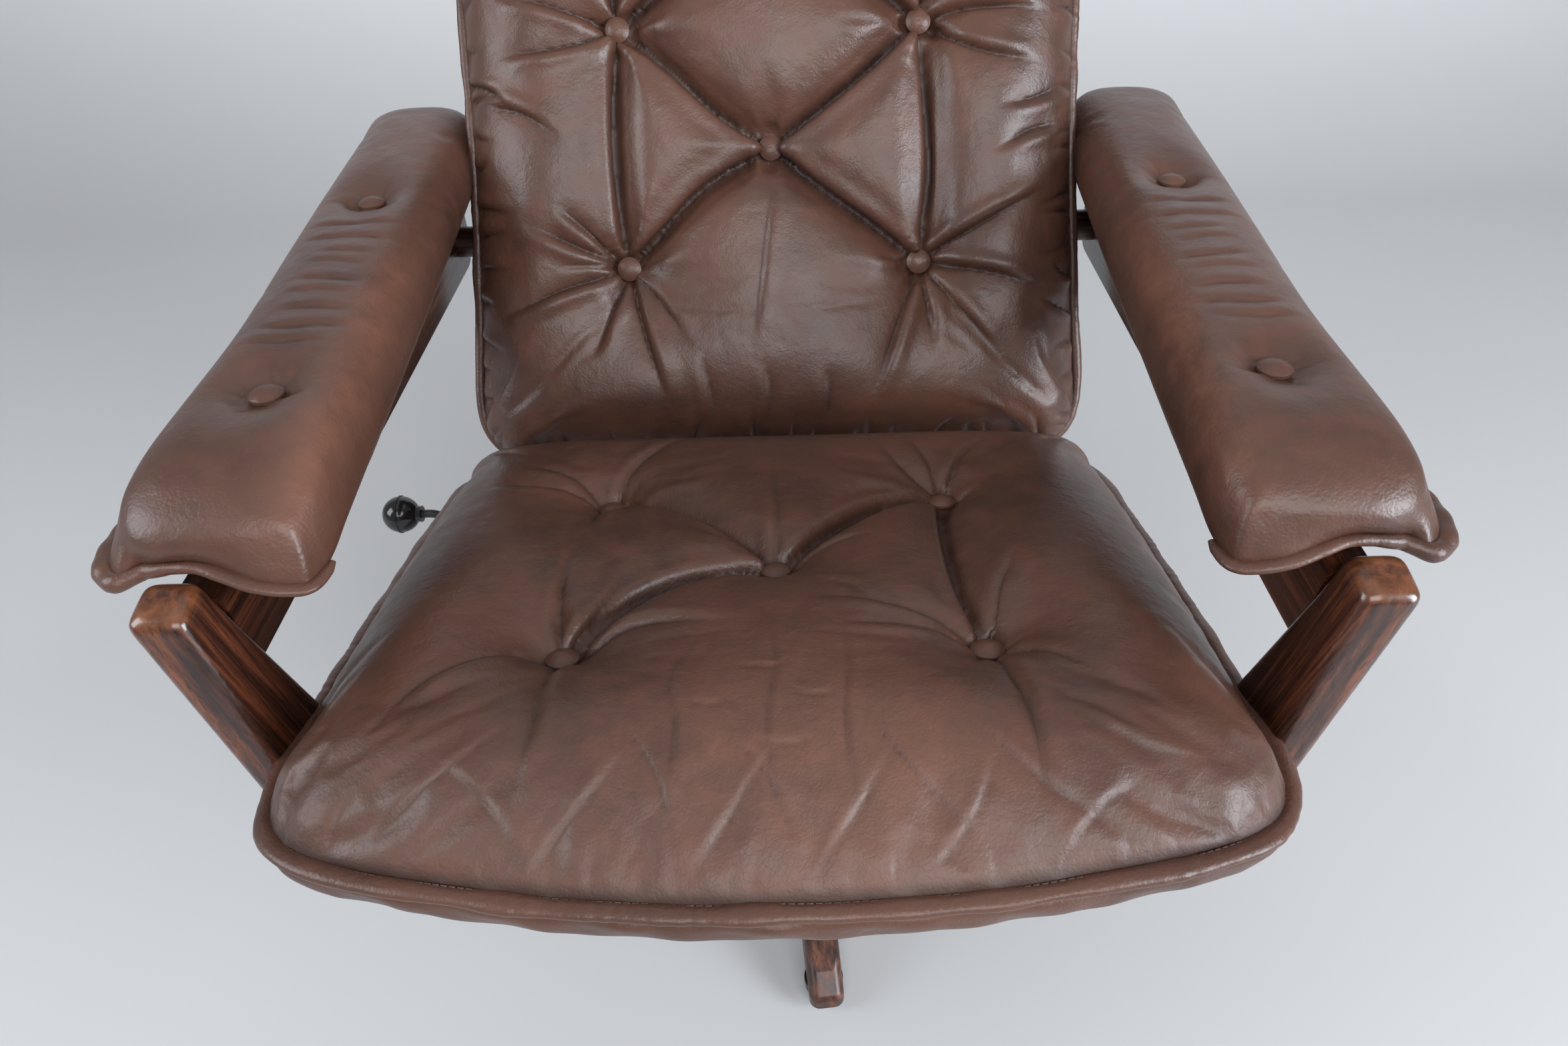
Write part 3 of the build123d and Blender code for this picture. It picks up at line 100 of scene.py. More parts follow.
SEAT = axes_at(SEAT_ORIGIN, (1, 0, 0), (0, cos(SEAT_SLOPE), -sin(SEAT_SLOPE)))
BACK = axes_at(BACK_ORIGIN, (1, 0, 0), (0, sin(BACK_LEAN), cos(BACK_LEAN)))
ARM = axes_at(
    ARM_ORIGIN,
    (cos(ARM_TOE_OUT), -sin(ARM_TOE_OUT), 0),
    (sin(ARM_TOE_OUT) * cos(ARM_RISE), cos(ARM_TOE_OUT) * cos(ARM_RISE), sin(ARM_RISE)),
) @ Matrix.Translation((-ARM_SIZE[0] / 2, 0, 0))
MIRROR = Matrix.Scale(-1, 4, (1, 0, 0))


# Modelling helpers

def activate(piece):
    """Selects one piece alone and makes it the active one."""
    bpy.ops.object.select_all(action="DESELECT")
    piece.select_set(True)
    bpy.context.view_layer.objects.active = piece


def modify(piece, kind, **settings):
    """Adds a modifier with the settings given and applies it."""
    modifier = piece.modifiers.new(kind, kind)
    for name, value in settings.items():
        setattr(modifier, name, value)
    activate(piece)
    bpy.ops.object.modifier_apply(modifier=modifier.name)


def new_piece(name, mesh):
    piece = bpy.data.objects.new(name, mesh)
    bpy.context.scene.collection.objects.link(piece)
    activate(piece)
    return piece


def copy_of_solid(node, name, place):
    """Copy of a CAD solid with its triangles merged, laid in the piece's own axes."""
    piece = new_piece(name, NODES[node].data.copy())
    piece.data.materials.clear()
    piece.data.transform(place.inverted())
    bpy.ops.object.mode_set(mode="EDIT")
    bpy.ops.mesh.select_all(action="SELECT")
    bpy.ops.mesh.remove_doubles(threshold=1e-5)
    bpy.ops.mesh.normals_make_consistent(inside=False)
    bpy.ops.object.mode_set(mode="OBJECT")
    return piece


def points_of(piece):
    flat = np.empty(len(piece.data.vertices) * 3)
    piece.data.vertices.foreach_get("co", flat)
    return flat.reshape(-1, 3)


def normals_of(piece):
    flat = np.empty(len(piece.data.vertices) * 3, np.float32)
    piece.data.vertex_normals.foreach_get("vector", flat)
    return flat.reshape(-1, 3).astype(float)


def set_points(piece, points):
    piece.data.vertices.foreach_set("co", points.ravel())
    piece.data.update()


def set_attribute(piece, name, values):
    layer = piece.data.attributes.new(name, "FLOAT", "POINT")
    layer.data.foreach_set("value", np.clip(values, 0, 1).astype(np.float32))


def even_mesh(piece, size):
    modify(piece, "REMESH", mode="VOXEL", voxel_size=size)


def subdivide(piece):
    modify(piece, "SUBSURF", levels=1, render_levels=1)


def soften(piece, rounds):
    modify(piece, "SMOOTH", factor=0.5, iterations=rounds)


def inflate(piece, held, cap):
    """Blows a closed leather form up as cloth, holding the marked points, and applies the result."""
    before = points_of(piece)
    group = piece.vertex_groups.new(name="held")
    group.add([int(i) for i in np.flatnonzero(held)], 1.0, "REPLACE")
    cloth = piece.modifiers.new("Cloth", "CLOTH")
    for name, value in LEATHER_CLOTH.items():
        setattr(cloth.settings, name, value)
    cloth.settings.effector_weights.gravity = 0
    cloth.collision_settings.use_collision = False
    cloth.point_cache.frame_start = 1
    cloth.point_cache.frame_end = LAST_FRAME
    for step in range(1, LAST_FRAME + 1):
        bpy.context.scene.frame_set(step)
    activate(piece)
    bpy.ops.object.modifier_apply(modifier="Cloth")
    bpy.context.scene.frame_set(1)
    piece.vertex_groups.clear()
    moved = points_of(piece) - before
    reach = np.linalg.norm(moved, axis=1, keepdims=True)
    set_points(piece, before + moved * np.minimum(1, cap / np.maximum(reach, 1e-9)))


def finish_piece(piece, body, slot, material, *replaced):
    """Gives a finished piece its material and body, shades it smooth, and hides the solids it stands for. The
    slot argument is not used.
    """
    piece.data.materials.clear()
    piece.data.materials.append(material)
    activate(piece)
    bpy.ops.object.shade_smooth()
    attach(piece, body)
    if replaced:
        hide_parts(*replaced)


# Creases drawn on a surface

def smooth_line(points, steps=8):
    """Closely spaced points on a smooth line through the given ones."""
    given = np.array(points, float)
    ends = np.vstack([2 * given[0] - given[1], given, 2 * given[-1] - given[-2]])
    line = []
    for i in range(1, len(ends) - 2):
        a, b, c, d = ends[i - 1:i + 3]
        for t in np.linspace(0, 1, steps, endpoint=False):
            line.append(b + 0.5 * t * (c - a + t * (2 * a - 5 * b + 4 * c - d + t * (3 * (b - c) + d - a))))
    line.append(given[-1])
    return np.array(line)


def nearest_on(line, spots):
    """Each spot's distance and offset from a line, the side it lies on, and its share of the way along."""
    steps = np.linalg.norm(np.diff(line, axis=0), axis=1)
    starts = np.concatenate([[0], np.cumsum(steps)])
    best = np.full(len(spots), 1e9)
    offset = np.zeros((len(spots), 2))
    side = np.ones(len(spots))
    share = np.zeros(len(spots))
    for i, length in enumerate(steps):
        way = (line[i + 1] - line[i]) / length
        run = np.clip((spots - line[i]) @ way, 0, length)
        off = spots - line[i] - run[:, None] * way
        gap = np.hypot(off[:, 0], off[:, 1])
        closer = gap < best
        best[closer] = gap[closer]
        offset[closer] = off[closer]
        side[closer] = np.where(way[0] * off[closer, 1] - way[1] * off[closer, 0] < 0, -1, 1)
        share[closer] = (starts[i] + run[closer]) / starts[-1]
    return best, offset, side, share


def ramp(values):
    """Smooth rise from 0 to 1."""
    t = np.clip(values, 0, 1)
    return t * t * (3 - 2 * t)


def bell(values):
    """1 at 0, falling smoothly to either side."""
    return np.exp(-(values ** 2))


FULL_DEPTH = 0.004
# Width of the painted shade line along a fold
SHADE_LINE_WIDTH = 0.0012
FAN_DEPTH = 0.0016


class Creases:
    """Gathers the folds of a leather face, then draws the mesh in to their lines and sinks them."""

    def __init__(self):
        self.folds = []

    def fold(self, points, depth, steep, gentle, roll, start, end):
        """A fold along a line: a steep wall under a roll on its left, a gentle slope on its right."""
        self.folds.append((smooth_line(points), depth, steep, gentle, roll, start, end))

    def fan(self, centre, count, lengths, rng):
        """Short creases that spread from a button."""
        turns = np.sort(rng.uniform(0, 2 * pi, count))
        for turn, length in zip(turns, rng.uniform(*lengths, count)):
            way = np.array([cos(turn), sin(turn)])
            across = np.array([-way[1], way[0]])
            bend = rng.uniform(-0.1, 0.1) * length
            first = np.array(centre) + way * BUTTON_RADIUS * 0.7
            middle = first + way * length * 0.5 + across * bend
            last = first + way * length + across * bend * rng.uniform(-0.6, 1.0)
            here = FAN_DEPTH * rng.uniform(0.5, 1.1)
            line = [first, middle, last]
            self.fold(line, here, steep=0.0022, gentle=0.007, roll=0.35 * here, start=0.05, end=0.75)

    def near(self, at, facing, line, reach):
        low, high = line.min(axis=0) - reach, line.max(axis=0) + reach
        inside = np.all((at[:, :2] > low) & (at[:, :2] < high), axis=1)
        return np.flatnonzero(inside & (facing > 0.01))

    def lay_in(self, piece, facing, pinch=0.011, groove_shade=0.0):
        """Pinches the mesh towards each fold's line, sinks the folds and marks painted shade along their
        lines by their depth, together with any painted seam-groove shade.
        """
        at = points_of(piece)
        for line, depth, *_, start, end in self.folds:
            close = self.near(at, facing, line, pinch)
            gap, offset, _, share = nearest_on(line, at[close, :2])
            inner = gap < pinch
            fade = ramp((1 - share) / max(end, 1e-6)) * ramp(share / max(start, 1e-6)) * facing[close]
            drawn = 1 - (np.maximum(gap, 1e-6) / pinch) ** 0.55
            at[close[inner], :2] -= offset[inner] * (drawn * fade * min(1.0, depth / FULL_DEPTH))[inner, None]
        set_points(piece, at)
        height = np.zeros(len(at))
        mark = np.zeros(len(at))
        for line, depth, steep, gentle, roll, start, end in self.folds:
            close = self.near(at, facing, line, 5 * gentle)
            gap, _, side, share = nearest_on(line, at[close, :2])
            fade = ramp(share / max(start, 1e-6) + 0.1) * ramp((1 - share) / max(end, 1e-6)) * facing[close]
            wall = side > 0
            dip = np.exp(-gap / np.where(wall, steep, gentle))
            bulge = np.where(wall, bell((gap - 3.2 * steep) / (3.0 * steep)) - dip, 0)
            height[close] += fade * (roll * bulge - depth * dip)
            # Painted shade along each fold's line, darker for deeper folds, gathered in mark
            shade = fade * np.exp(-gap / SHADE_LINE_WIDTH) * min(1.0, depth / FULL_DEPTH)
            mark[close] = np.maximum(mark[close], shade)
        set_points(piece, at + normals_of(piece) * height[:, None])
        # Painted shade mask: fold lines and the seam groove darken the leather through this attribute
        set_attribute(piece, "crease_shade_mask", np.maximum(mark, groove_shade))


RIM_BAND = 0.004


def rim_of(at, level, centre, count=240):
    """Outline of a cushion at its seam level, as points round its centre."""
    band = np.abs(at[:, 2] - level) < RIM_BAND
    out = at[band, :2] - centre
    turn = np.arctan2(out[:, 1], out[:, 0])
    reach = np.hypot(out[:, 0], out[:, 1])
    step = np.floor((turn + pi) / (2 * pi) * count).astype(int) % count
    radius = np.zeros(count)
    np.maximum.at(radius, step, reach)
    known = np.flatnonzero(radius > 0)
    radius = np.interp(np.arange(count), known, radius[known], period=count)
    for _ in range(3):
        radius = (np.roll(radius, 1) + 2 * radius + np.roll(radius, -1)) / 4
    angle = (np.arange(count) + 0.5) / count * 2 * pi - pi
    return centre + np.column_stack([np.cos(angle), np.sin(angle)]) * radius[:, None]


def inside_rim(rim, spots):
    """Distance of each spot inside a rim."""
    gap, _, side, _ = nearest_on(np.vstack([rim, rim[:1]]), spots)
    return gap * side


def closed_up(loop):
    """A loop with its first point again at the end, and how far along it each point lies."""
    closed = np.vstack([loop, loop[:1]])
    steps = np.linalg.norm(np.diff(closed, axis=0), axis=1)
    return closed, np.concatenate([[0], np.cumsum(steps)])


THIN_TUBE = 0.001


def tube_along(name, path, width, height, closed=True):
    """Leather tube with a flattened section along a path of the piece's own axes."""
    line = bpy.data.curves.new(name, "CURVE")
    line.dimensions = "3D"
    line.bevel_depth = 1.0
    line.bevel_resolution = 4
    line.use_fill_caps = not closed
    spline = line.splines.new("POLY")
    spline.points.add(len(path) - 1)
    for point, place in zip(spline.points, path):
        point.co = (*place, 1)
        point.radius = THIN_TUBE
    spline.use_cyclic_u = closed
    curve = bpy.data.objects.new(name, line)
    bpy.context.scene.collection.objects.link(curve)
    activate(curve)
    bpy.ops.object.convert(target="MESH")
    tube = bpy.context.object
    at = points_of(tube)
    path = np.array(path)
    gap, owner = np.full(len(at), 1e9), np.zeros(len(at), int)
    for i, place in enumerate(path):
        away = np.linalg.norm(at - place, axis=1)
        closer = away < gap
        gap[closer] = away[closer]
        owner[closer] = i
    off = (at - path[owner]) / THIN_TUBE
    off[:, :2] *= width[owner, None]
    off[:, 2] *= height[owner]
    set_points(tube, path[owner] + off)
    return tube


# Materials

def shader(name):
    material = bpy.data.materials.new(name)
    material.use_nodes = True
    return material, material.node_tree, material.node_tree.nodes["Principled BSDF"]


def plug(tree, socket, value):
    """Links a socket to another one, or sets its value."""
    if isinstance(value, bpy.types.NodeSocket):
        tree.links.new(value, socket)
    else:
        socket.default_value = value


def feed(tree, node, **values):
    """Fills the node's sockets that have these names; any other name is one of its settings."""
    for name, value in values.items():
        label = name.replace("_", " ").title()
        if label in node.inputs:
            plug(tree, node.inputs[label], value)
        else:
            setattr(node, name, value)


def add_node(tree, kind, **values):
    node = tree.nodes.new(kind)
    feed(tree, node, **values)
    return node


def place_on(tree, turn=(0, 0, 0), stretch=(1, 1, 1)):
    """Object coordinates, turned and stretched."""
    spot = add_node(tree, "ShaderNodeTexCoord")
    turned = add_node(tree, "ShaderNodeMapping", vector=spot.outputs["Object"], rotation=turn)
    return add_node(tree, "ShaderNodeMapping", vector=turned.outputs[0], scale=stretch).outputs[0]


def noise(tree, where, scale, detail=3.0, roughness=0.5, distortion=0.0):
    node = add_node(tree, "ShaderNodeTexNoise", vector=where, scale=scale, detail=detail, roughness=roughness,
                    distortion=distortion)
    return node.outputs[0]


def cells(tree, where, scale, feature="F1"):
    node = add_node(tree, "ShaderNodeTexVoronoi", feature=feature, vector=where, scale=scale)
    return node.outputs["Distance"]


def ramp_of(tree, value, *stops):
    """Colour ramp through (place, colour) stops."""
    node = add_node(tree, "ShaderNodeValToRGB", fac=value)
    stop = node.color_ramp.elements
    while len(stop) < len(stops):
        stop.new(0.5)
    for element, (place, colour) in zip(stop, stops):
        element.position = place
        element.color = (*colour, 1)
    return node.outputs[0]


def spread(tree, value, low, high, to_low=0.0, to_high=1.0):
    """Moves a value from one range to another, held within it."""
    node = add_node(tree, "ShaderNodeMapRange")
    for socket, number in zip(node.inputs, (value, low, high, to_low, to_high)):
        plug(tree, socket, number)
    return node.outputs[0]


def math(tree, operation, first, second):
    node = add_node(tree, "ShaderNodeMath", operation=operation)
    plug(tree, node.inputs[0], first)
    plug(tree, node.inputs[1], second)
    return node.outputs[0]


def mix(tree, share, first, second):
    """Mixes two colours by a share."""
    node = add_node(tree, "ShaderNodeMix", data_type="RGBA")
    plug(tree, node.inputs[0], share)
    for i, colour in ((6, first), (7, second)):
        plug(tree, node.inputs[i], (*colour, 1) if isinstance(colour, tuple) else colour)
    return node.outputs[2]


def bump(tree, height, strength, distance, under=None):
    node = add_node(tree, "ShaderNodeBump", strength=strength, distance=distance, height=height)
    if under is not None:
        feed(tree, node, normal=under)
    return node.outputs[0]


def attribute(tree, name):
    return add_node(tree, "ShaderNodeAttribute", attribute_name=name).outputs["Fac"]


RUBBED_HIDE = (0.30, 0.125, 0.075)
# Painted shade colour for the leather's folds and seam grooves
PAINTED_CREASE_SHADE = (0.012, 0.006, 0.005)
PORE_SHADE = (0.006, 0.003, 0.002)
DARK_STAIN = (0.016, 0.0055, 0.0035)
MID_STAIN = (0.062, 0.018, 0.009)
WARM_STAIN = (0.160, 0.046, 0.016)
BARE_WOOD = (0.215, 0.075, 0.028)
RAW_DARK = (0.33, 0.19, 0.095)
RAW_MID = (0.46, 0.29, 0.155)
RAW_PALE = (0.55, 0.37, 0.21)
WEB_SHADE = (0.10, 0.085, 0.07)
WEB_TONE = (0.24, 0.21, 0.17)


def leather(name, light, deep, red):
    """Semi-gloss waxed leather: patchy browns, pebbled grain, fine crazing, painted shade in folds and seam
    grooves, and paler wear.
    """
    material, tree, surface = shader(name)
    where = place_on(tree)
    cloud = noise(tree, where, 7.0, 4.0, 0.6)
    blotch = noise(tree, where, 38.0, 5.0, 0.6)
    tone = mix(tree, spread(tree, cloud, 0.36, 0.64), deep, light)
    tone = mix(tree, spread(tree, blotch, 0.45, 0.75, 0.0, 0.65), tone, red)
    pebble = cells(tree, where, 520.0)
    crazing = cells(tree, where, 150.0, "DISTANCE_TO_EDGE")
    patch = spread(tree, noise(tree, where, 22.0, 2.0), 0.45, 0.65, 0.0, 0.3)
    crazed = attribute(tree, "crazed")
    patch = math(tree, "MAXIMUM", patch, crazed)
    crack = math(tree, "MULTIPLY", spread(tree, crazing, 0.0, 0.05, 1.0, 0.0), patch)
    tone = mix(tree, math(tree, "MULTIPLY", crack, 0.35), tone, deep)
    crease_shade_mask = attribute(tree, "crease_shade_mask")
    worn = attribute(tree, "worn")
    rubbed = math(tree, "MULTIPLY", worn, spread(tree, blotch, 0.3, 0.7, 0.35, 1.0))
    tone = mix(tree, rubbed, tone, RUBBED_HIDE)
    # Painted shade: the leather is darkened along fold lines and the seam groove
    tone = mix(tree, math(tree, "MULTIPLY", crease_shade_mask, 0.7), tone, PAINTED_CREASE_SHADE)
    dull = math(tree, "ADD", spread(tree, blotch, 0.3, 0.7, 0.33, 0.47), math(tree, "MULTIPLY", crease_shade_mask, 0.2))
    dull = math(tree, "ADD", dull, math(tree, "MULTIPLY", crazed, 0.16))
    fine = bump(tree, pebble, 0.22, 0.0006)
    lines = bump(tree, math(tree, "MULTIPLY", crack, -1.0), 0.2, 0.0006, fine)
    soft = bump(tree, noise(tree, where, 75.0, 4.0, 0.55), 0.25, 0.004, lines)
    feed(tree, surface, base_color=tone, roughness=dull, normal=soft, coat_weight=0.08, coat_roughness=0.28)
    surface.inputs["Specular IOR Level"].default_value = 0.42
    return material


def lacquered_wood(name, turn, coat=0.35):
    """Stained straight-grained wood under lacquer; the grain runs along the turned pattern's own Z."""
    material, tree, surface = shader(name)
    where = place_on(tree, turn, (1, 1, 0.02))
    wander = noise(tree, where, 20.0, 2.0)
    figure = noise(tree, where, 150.0, 5.0, 0.62, 0.2)
    pores = noise(tree, where, 900.0, 2.0, 0.6)
    tone = ramp_of(tree, figure, (0.36, DARK_STAIN), (0.5, MID_STAIN), (0.64, WARM_STAIN))
    tone = mix(tree, spread(tree, wander, 0.4, 0.65, 0.0, 0.7), tone, DARK_STAIN)
    tone = mix(tree, spread(tree, pores, 0.56, 0.66, 0.0, 0.75), tone, PORE_SHADE)
    worn = attribute(tree, "worn")
    patches = spread(tree, noise(tree, place_on(tree), 70.0, 3.0), 0.35, 0.7, 0.1, 0.65)
    scuffed = math(tree, "MULTIPLY", worn, patches)
    tone = mix(tree, scuffed, tone, BARE_WOOD)
    satin = 0.34 - 0.4 * coat
    dull = spread(tree, figure, 0.3, 0.7, satin, satin + 0.14)
    relief = bump(tree, pores, 0.12, 0.0004)
    feed(tree, surface, base_color=tone, roughness=dull, normal=relief, coat_weight=coat, coat_roughness=0.12)
    return material


def raw_wood(name, turn):
    """Pale unfinished frame wood with straight grain."""
    material, tree, surface = shader(name)
    where = place_on(tree, turn, (1, 1, 0.06))
    figure = noise(tree, where, 60.0, 5.0, 0.6, 0.8)
    tone = ramp_of(tree, figure, (0.3, RAW_DARK), (0.55, RAW_MID), (0.75, RAW_PALE))
    dull = spread(tree, figure, 0.3, 0.7, 0.55, 0.7)
    feed(tree, surface, base_color=tone, roughness=dull, normal=bump(tree, figure, 0.15, 0.0006))
    return material


def metal(name, colour, shade, roughness, metallic):
    """Steel with faint tool marks and smudges."""
    material, tree, surface = shader(name)
    where = place_on(tree)
    smudge = noise(tree, where, 45.0, 4.0)
    fine = noise(tree, where, 700.0, 2.0)
    tone = mix(tree, spread(tree, smudge, 0.35, 0.65), colour, shade)
    dull = spread(tree, smudge, 0.3, 0.7, roughness - 0.06, roughness + 0.1)
    relief = bump(tree, fine, 0.12, 0.0003)
    feed(tree, surface, base_color=tone, roughness=dull, normal=relief, metallic=metallic)
    return material


def moulded(name, colour, shade, roughness, texture):
    """Plastic or waxed thread with slight mottling and a fine surface texture."""
    material, tree, surface = shader(name)
    where = place_on(tree)
    mottle = noise(tree, where, 60.0, 3.0)
    dull = spread(tree, mottle, 0.3, 0.7, roughness - 0.02, roughness + 0.03)
    relief = bump(tree, cells(tree, where, 900.0), texture, 0.0003)
    feed(tree, surface, base_color=mix(tree, mottle, colour, shade), roughness=dull, normal=relief)
    return material


def woven(name):
    """Elastic webbing in a plain weave."""
    material, tree, surface = shader(name)
    where = place_on(tree)
    warp = add_node(tree, "ShaderNodeTexWave", bands_direction="X", vector=where, scale=180.0, distortion=0.4)
    weft = add_node(tree, "ShaderNodeTexWave", bands_direction="Y", vector=where, scale=180.0, distortion=0.4)
    weave = math(tree, "MULTIPLY", warp.outputs["Fac"], weft.outputs["Fac"])
    tone = mix(tree, weave, WEB_SHADE, WEB_TONE)
    feed(tree, surface, base_color=tone, roughness=0.85, normal=bump(tree, weave, 0.5, 0.0008))
    return material


HIDE_TONES = ((0.094, 0.0425, 0.028), (0.054, 0.0245, 0.017), (0.104, 0.039, 0.0245))
BUTTON_TONES = ((0.096, 0.043, 0.028), (0.060, 0.027, 0.019), (0.102, 0.039, 0.024))
LEATHER = leather("seat_leather", *HIDE_TONES)
BUTTON_LEATHER = leather("button_leather", *BUTTON_TONES)
LENGTHWISE = (pi / 2, 0, 0)
CROSSWISE = (0, pi / 2, 0)
POST_LEAN = radians(16.0)
LEG_TURN = radians(-84.3)
LEG_COUNT = 5
RAIL_COAT = 0.08
LEG_COAT = 0.05
WOOD_STILE = lacquered_wood("stile_wood", (BACK_LEAN, 0, 0))
WOOD_POST_RIGHT = lacquered_wood("post_wood_right", (0, -POST_LEAN, 0))
WOOD_POST_LEFT = lacquered_wood("post_wood_left", (0, POST_LEAN, 0))
WOOD_LENGTHWISE = lacquered_wood("rail_wood", LENGTHWISE)
WOOD_CROSSWISE = lacquered_wood("cross_wood", CROSSWISE, RAIL_COAT)
RAW_CROSSWISE = raw_wood("frame_wood", CROSSWISE)
BLACK_STEEL = metal("black_steel", (0.020, 0.020, 0.021), (0.034, 0.033, 0.032), 0.42, 0.35)
BRIGHT_STEEL = metal("bright_steel", (0.56, 0.55, 0.53), (0.44, 0.43, 0.41), 0.3, 1.0)
NYLON = moulded("nylon", (0.55, 0.53, 0.47), (0.47, 0.45, 0.39), 0.45, 0.15)
BLACK_PLASTIC = moulded("black_plastic", (0.011, 0.011, 0.012), (0.014, 0.014, 0.015), 0.14, 0.012)
WEBBING = woven("webbing")
THREAD = moulded("waxed_thread", (0.045, 0.022, 0.016), (0.075, 0.038, 0.028), 0.5, 0.3)


# Cushions

CROWN = 0.020
CROWN_DRAW = 0.135
CROWN_FULLNESS = 2.6
START_SHARE = 0.8
HELD_ABOVE_SEAM = 0.004
FACE_ABOVE_SEAM = 0.006
TUFT_SPREAD = 0.030
RIM_KEPT = 0.020
RIM_BLEND = 0.025
DIMPLE = 0.0145
DIMPLE_ABOVE = SEAM_LEVEL + 0.01
GROOVE_ABOVE_SEAM = 0.003
GROOVE_WIDTH = 0.008
FACE_BLEND = 0.014


def crown_height(inside):
    """Height of a plain crowned cushion, from how far inside its rim a point lies."""
    left = 1 - np.clip(inside / CROWN_DRAW, 0, 1)
    full = (1 - left ** CROWN_FULLNESS) ** (1 / CROWN_FULLNESS)
    return SEAM_LEVEL + (CROWN * START_SHARE - SEAM_LEVEL) * full


def tufted_cushion(node, name, place, buttons, pleats, pleat_depth, pleat_width, centre):
    """Inflates a cushion between its buttons, pleats, seam and underside, starting from its solid.

    Returns the piece and the outline of its seam."""
    piece = copy_of_solid(node, name, place)
    even_mesh(piece, VOXEL)
    soften(piece, 3)
    at = points_of(piece)
    rim = rim_of(at, SEAM_LEVEL, centre)
    inside = inside_rim(rim, at[:, :2])
    upper = at[:, 2] > SEAM_LEVEL + FACE_ABOVE_SEAM
    crown = crown_height(inside)
    form = crown.copy()
    held = at[:, 2] < SEAM_LEVEL + HELD_ABOVE_SEAM
    for pleat in pleats:
        gap, _, _, share = nearest_on(smooth_line(pleat), at[:, :2])
        floor = crown - pleat_depth
        floor = floor + (TUFT_SEAT - floor) * np.abs(2 * share - 1) ** 3
        form = np.minimum(form, crown - (crown - floor) * bell(gap / pleat_width))
        held |= upper & (gap < 0.6 * VOXEL)
    for x, y in buttons:
        away = np.hypot(at[:, 0] - x, at[:, 1] - y)
        form = np.minimum(form, crown - (crown - TUFT_SEAT) * bell(away / TUFT_SPREAD))
        held |= upper & (away < 1.1 * BUTTON_RADIUS)
    share = ramp((inside - RIM_KEPT) / RIM_BLEND) * upper
    at[:, 2] += (form - at[:, 2]) * share
    set_points(piece, at)
    inflate(piece, held, CUSHION_CAP)
    subdivide(piece)
    return piece, rim


def seat_buttons_in(piece, buttons, level, dimple, above):
    """Draws the leather in under each button, down to a level, where it lies above another."""
    at = points_of(piece)
    for x, y in buttons:
        away = np.hypot(at[:, 0] - x, at[:, 1] - y)
        share = np.exp(-((away / dimple) ** 4)) * (at[:, 2] > above)
        at[:, 2] += (level - at[:, 2]) * share
    set_points(piece, at)


def seam_groove_shade(at):
    """Painted shade line where a cushion's cover meets its welt, standing in for the shade in the seam
    groove.
    """
    return ramp(1 - np.abs(at[:, 2] - SEAM_LEVEL - GROOVE_ABOVE_SEAM) / GROOVE_WIDTH)


def lead_in(line, buttons):
    """Share of a fold over which it deepens: short at a button, long out on a panel."""
    x, y = line[0]
    return 0.05 if min(np.hypot(x - a, y - b) for a, b in buttons) < BUTTON_RADIUS else 0.4


def rim_puckers(creases, rim, rng, spacing, length, depth):
    """Short creases that run in from the seam."""
    closed, steps = closed_up(rim)
    spot = rng.uniform(0, spacing[1])
    while spot < steps[-1]:
        i = min(np.searchsorted(steps, spot), len(rim)) - 1
        way = closed[i + 1] - closed[i]
        way = way / np.linalg.norm(way)
        inward = np.array([-way[1], way[0]])
        first = closed[i] + inward * 0.002
        reach = rng.uniform(*length)
        lean = rng.uniform(-0.45, 0.45)
        middle = first + (inward + lean * way) * 0.5 * reach
        last = first + (inward + lean * rng.uniform(0.6, 1.8) * way) * reach
        here = depth * rng.uniform(0.5, 1.2)
        line = [first, middle, last]
        creases.fold(line, here, steep=0.0022, gentle=0.006, roll=0.5 * here, start=0.02, end=0.8)
        spot += rng.uniform(*spacing)


# Waves round a welt, as counts of the full turn, and how far they swell it
WELT_WAVES = (5, 9, 14, 23, 31)
WELT_SWELLS = (17, 29, 43)
WELT_PUCKERS = (149, 193, 231)
WELT_SWELL = 0.10
WELT_PUCKER = 0.025
WELT_STEPS = 6


def welt(name, rim, level, outward, width, height, wave, rng):
    """Sewn welt round a cushion's seam, with its small waves."""
    count = WELT_STEPS * len(rim)
    turn = np.arange(count) / WELT_STEPS
    closed = closed_up(rim)[0]
    fine = np.column_stack([np.interp(turn, np.arange(len(closed)), closed[:, k]) for k in (0, 1)])
    for _ in range(20):
        fine = (np.roll(fine, 1, 0) + 2 * fine + np.roll(fine, -1, 0)) / 4
    way = np.roll(fine, -1, 0) - np.roll(fine, 1, 0)
    way /= np.linalg.norm(way, axis=1, keepdims=True)
    out = np.column_stack([way[:, 1], -way[:, 0]])
    angle = np.arange(count) / count * 2 * pi
    ripple = sum(rng.uniform(0.3, 1.0) * np.sin(k * angle + rng.uniform(0, 2 * pi)) for k in WELT_WAVES) / 2.2
    swell = 1 + WELT_SWELL * sum(np.sin(k * angle + rng.uniform(0, 2 * pi)) for k in WELT_SWELLS) / 1.7
    pucker = sum(np.sin(k * angle + rng.uniform(0, 2 * pi)) for k in WELT_PUCKERS) / 1.7
    swell += WELT_PUCKER * pucker * (0.6 + 0.4 * np.sin(6 * angle))
    path = np.column_stack([fine + out * (outward + 0.25 * wave * ripple)[:, None], level + wave * ripple])
    return tube_along(name, path, width * swell, height * swell), path, out


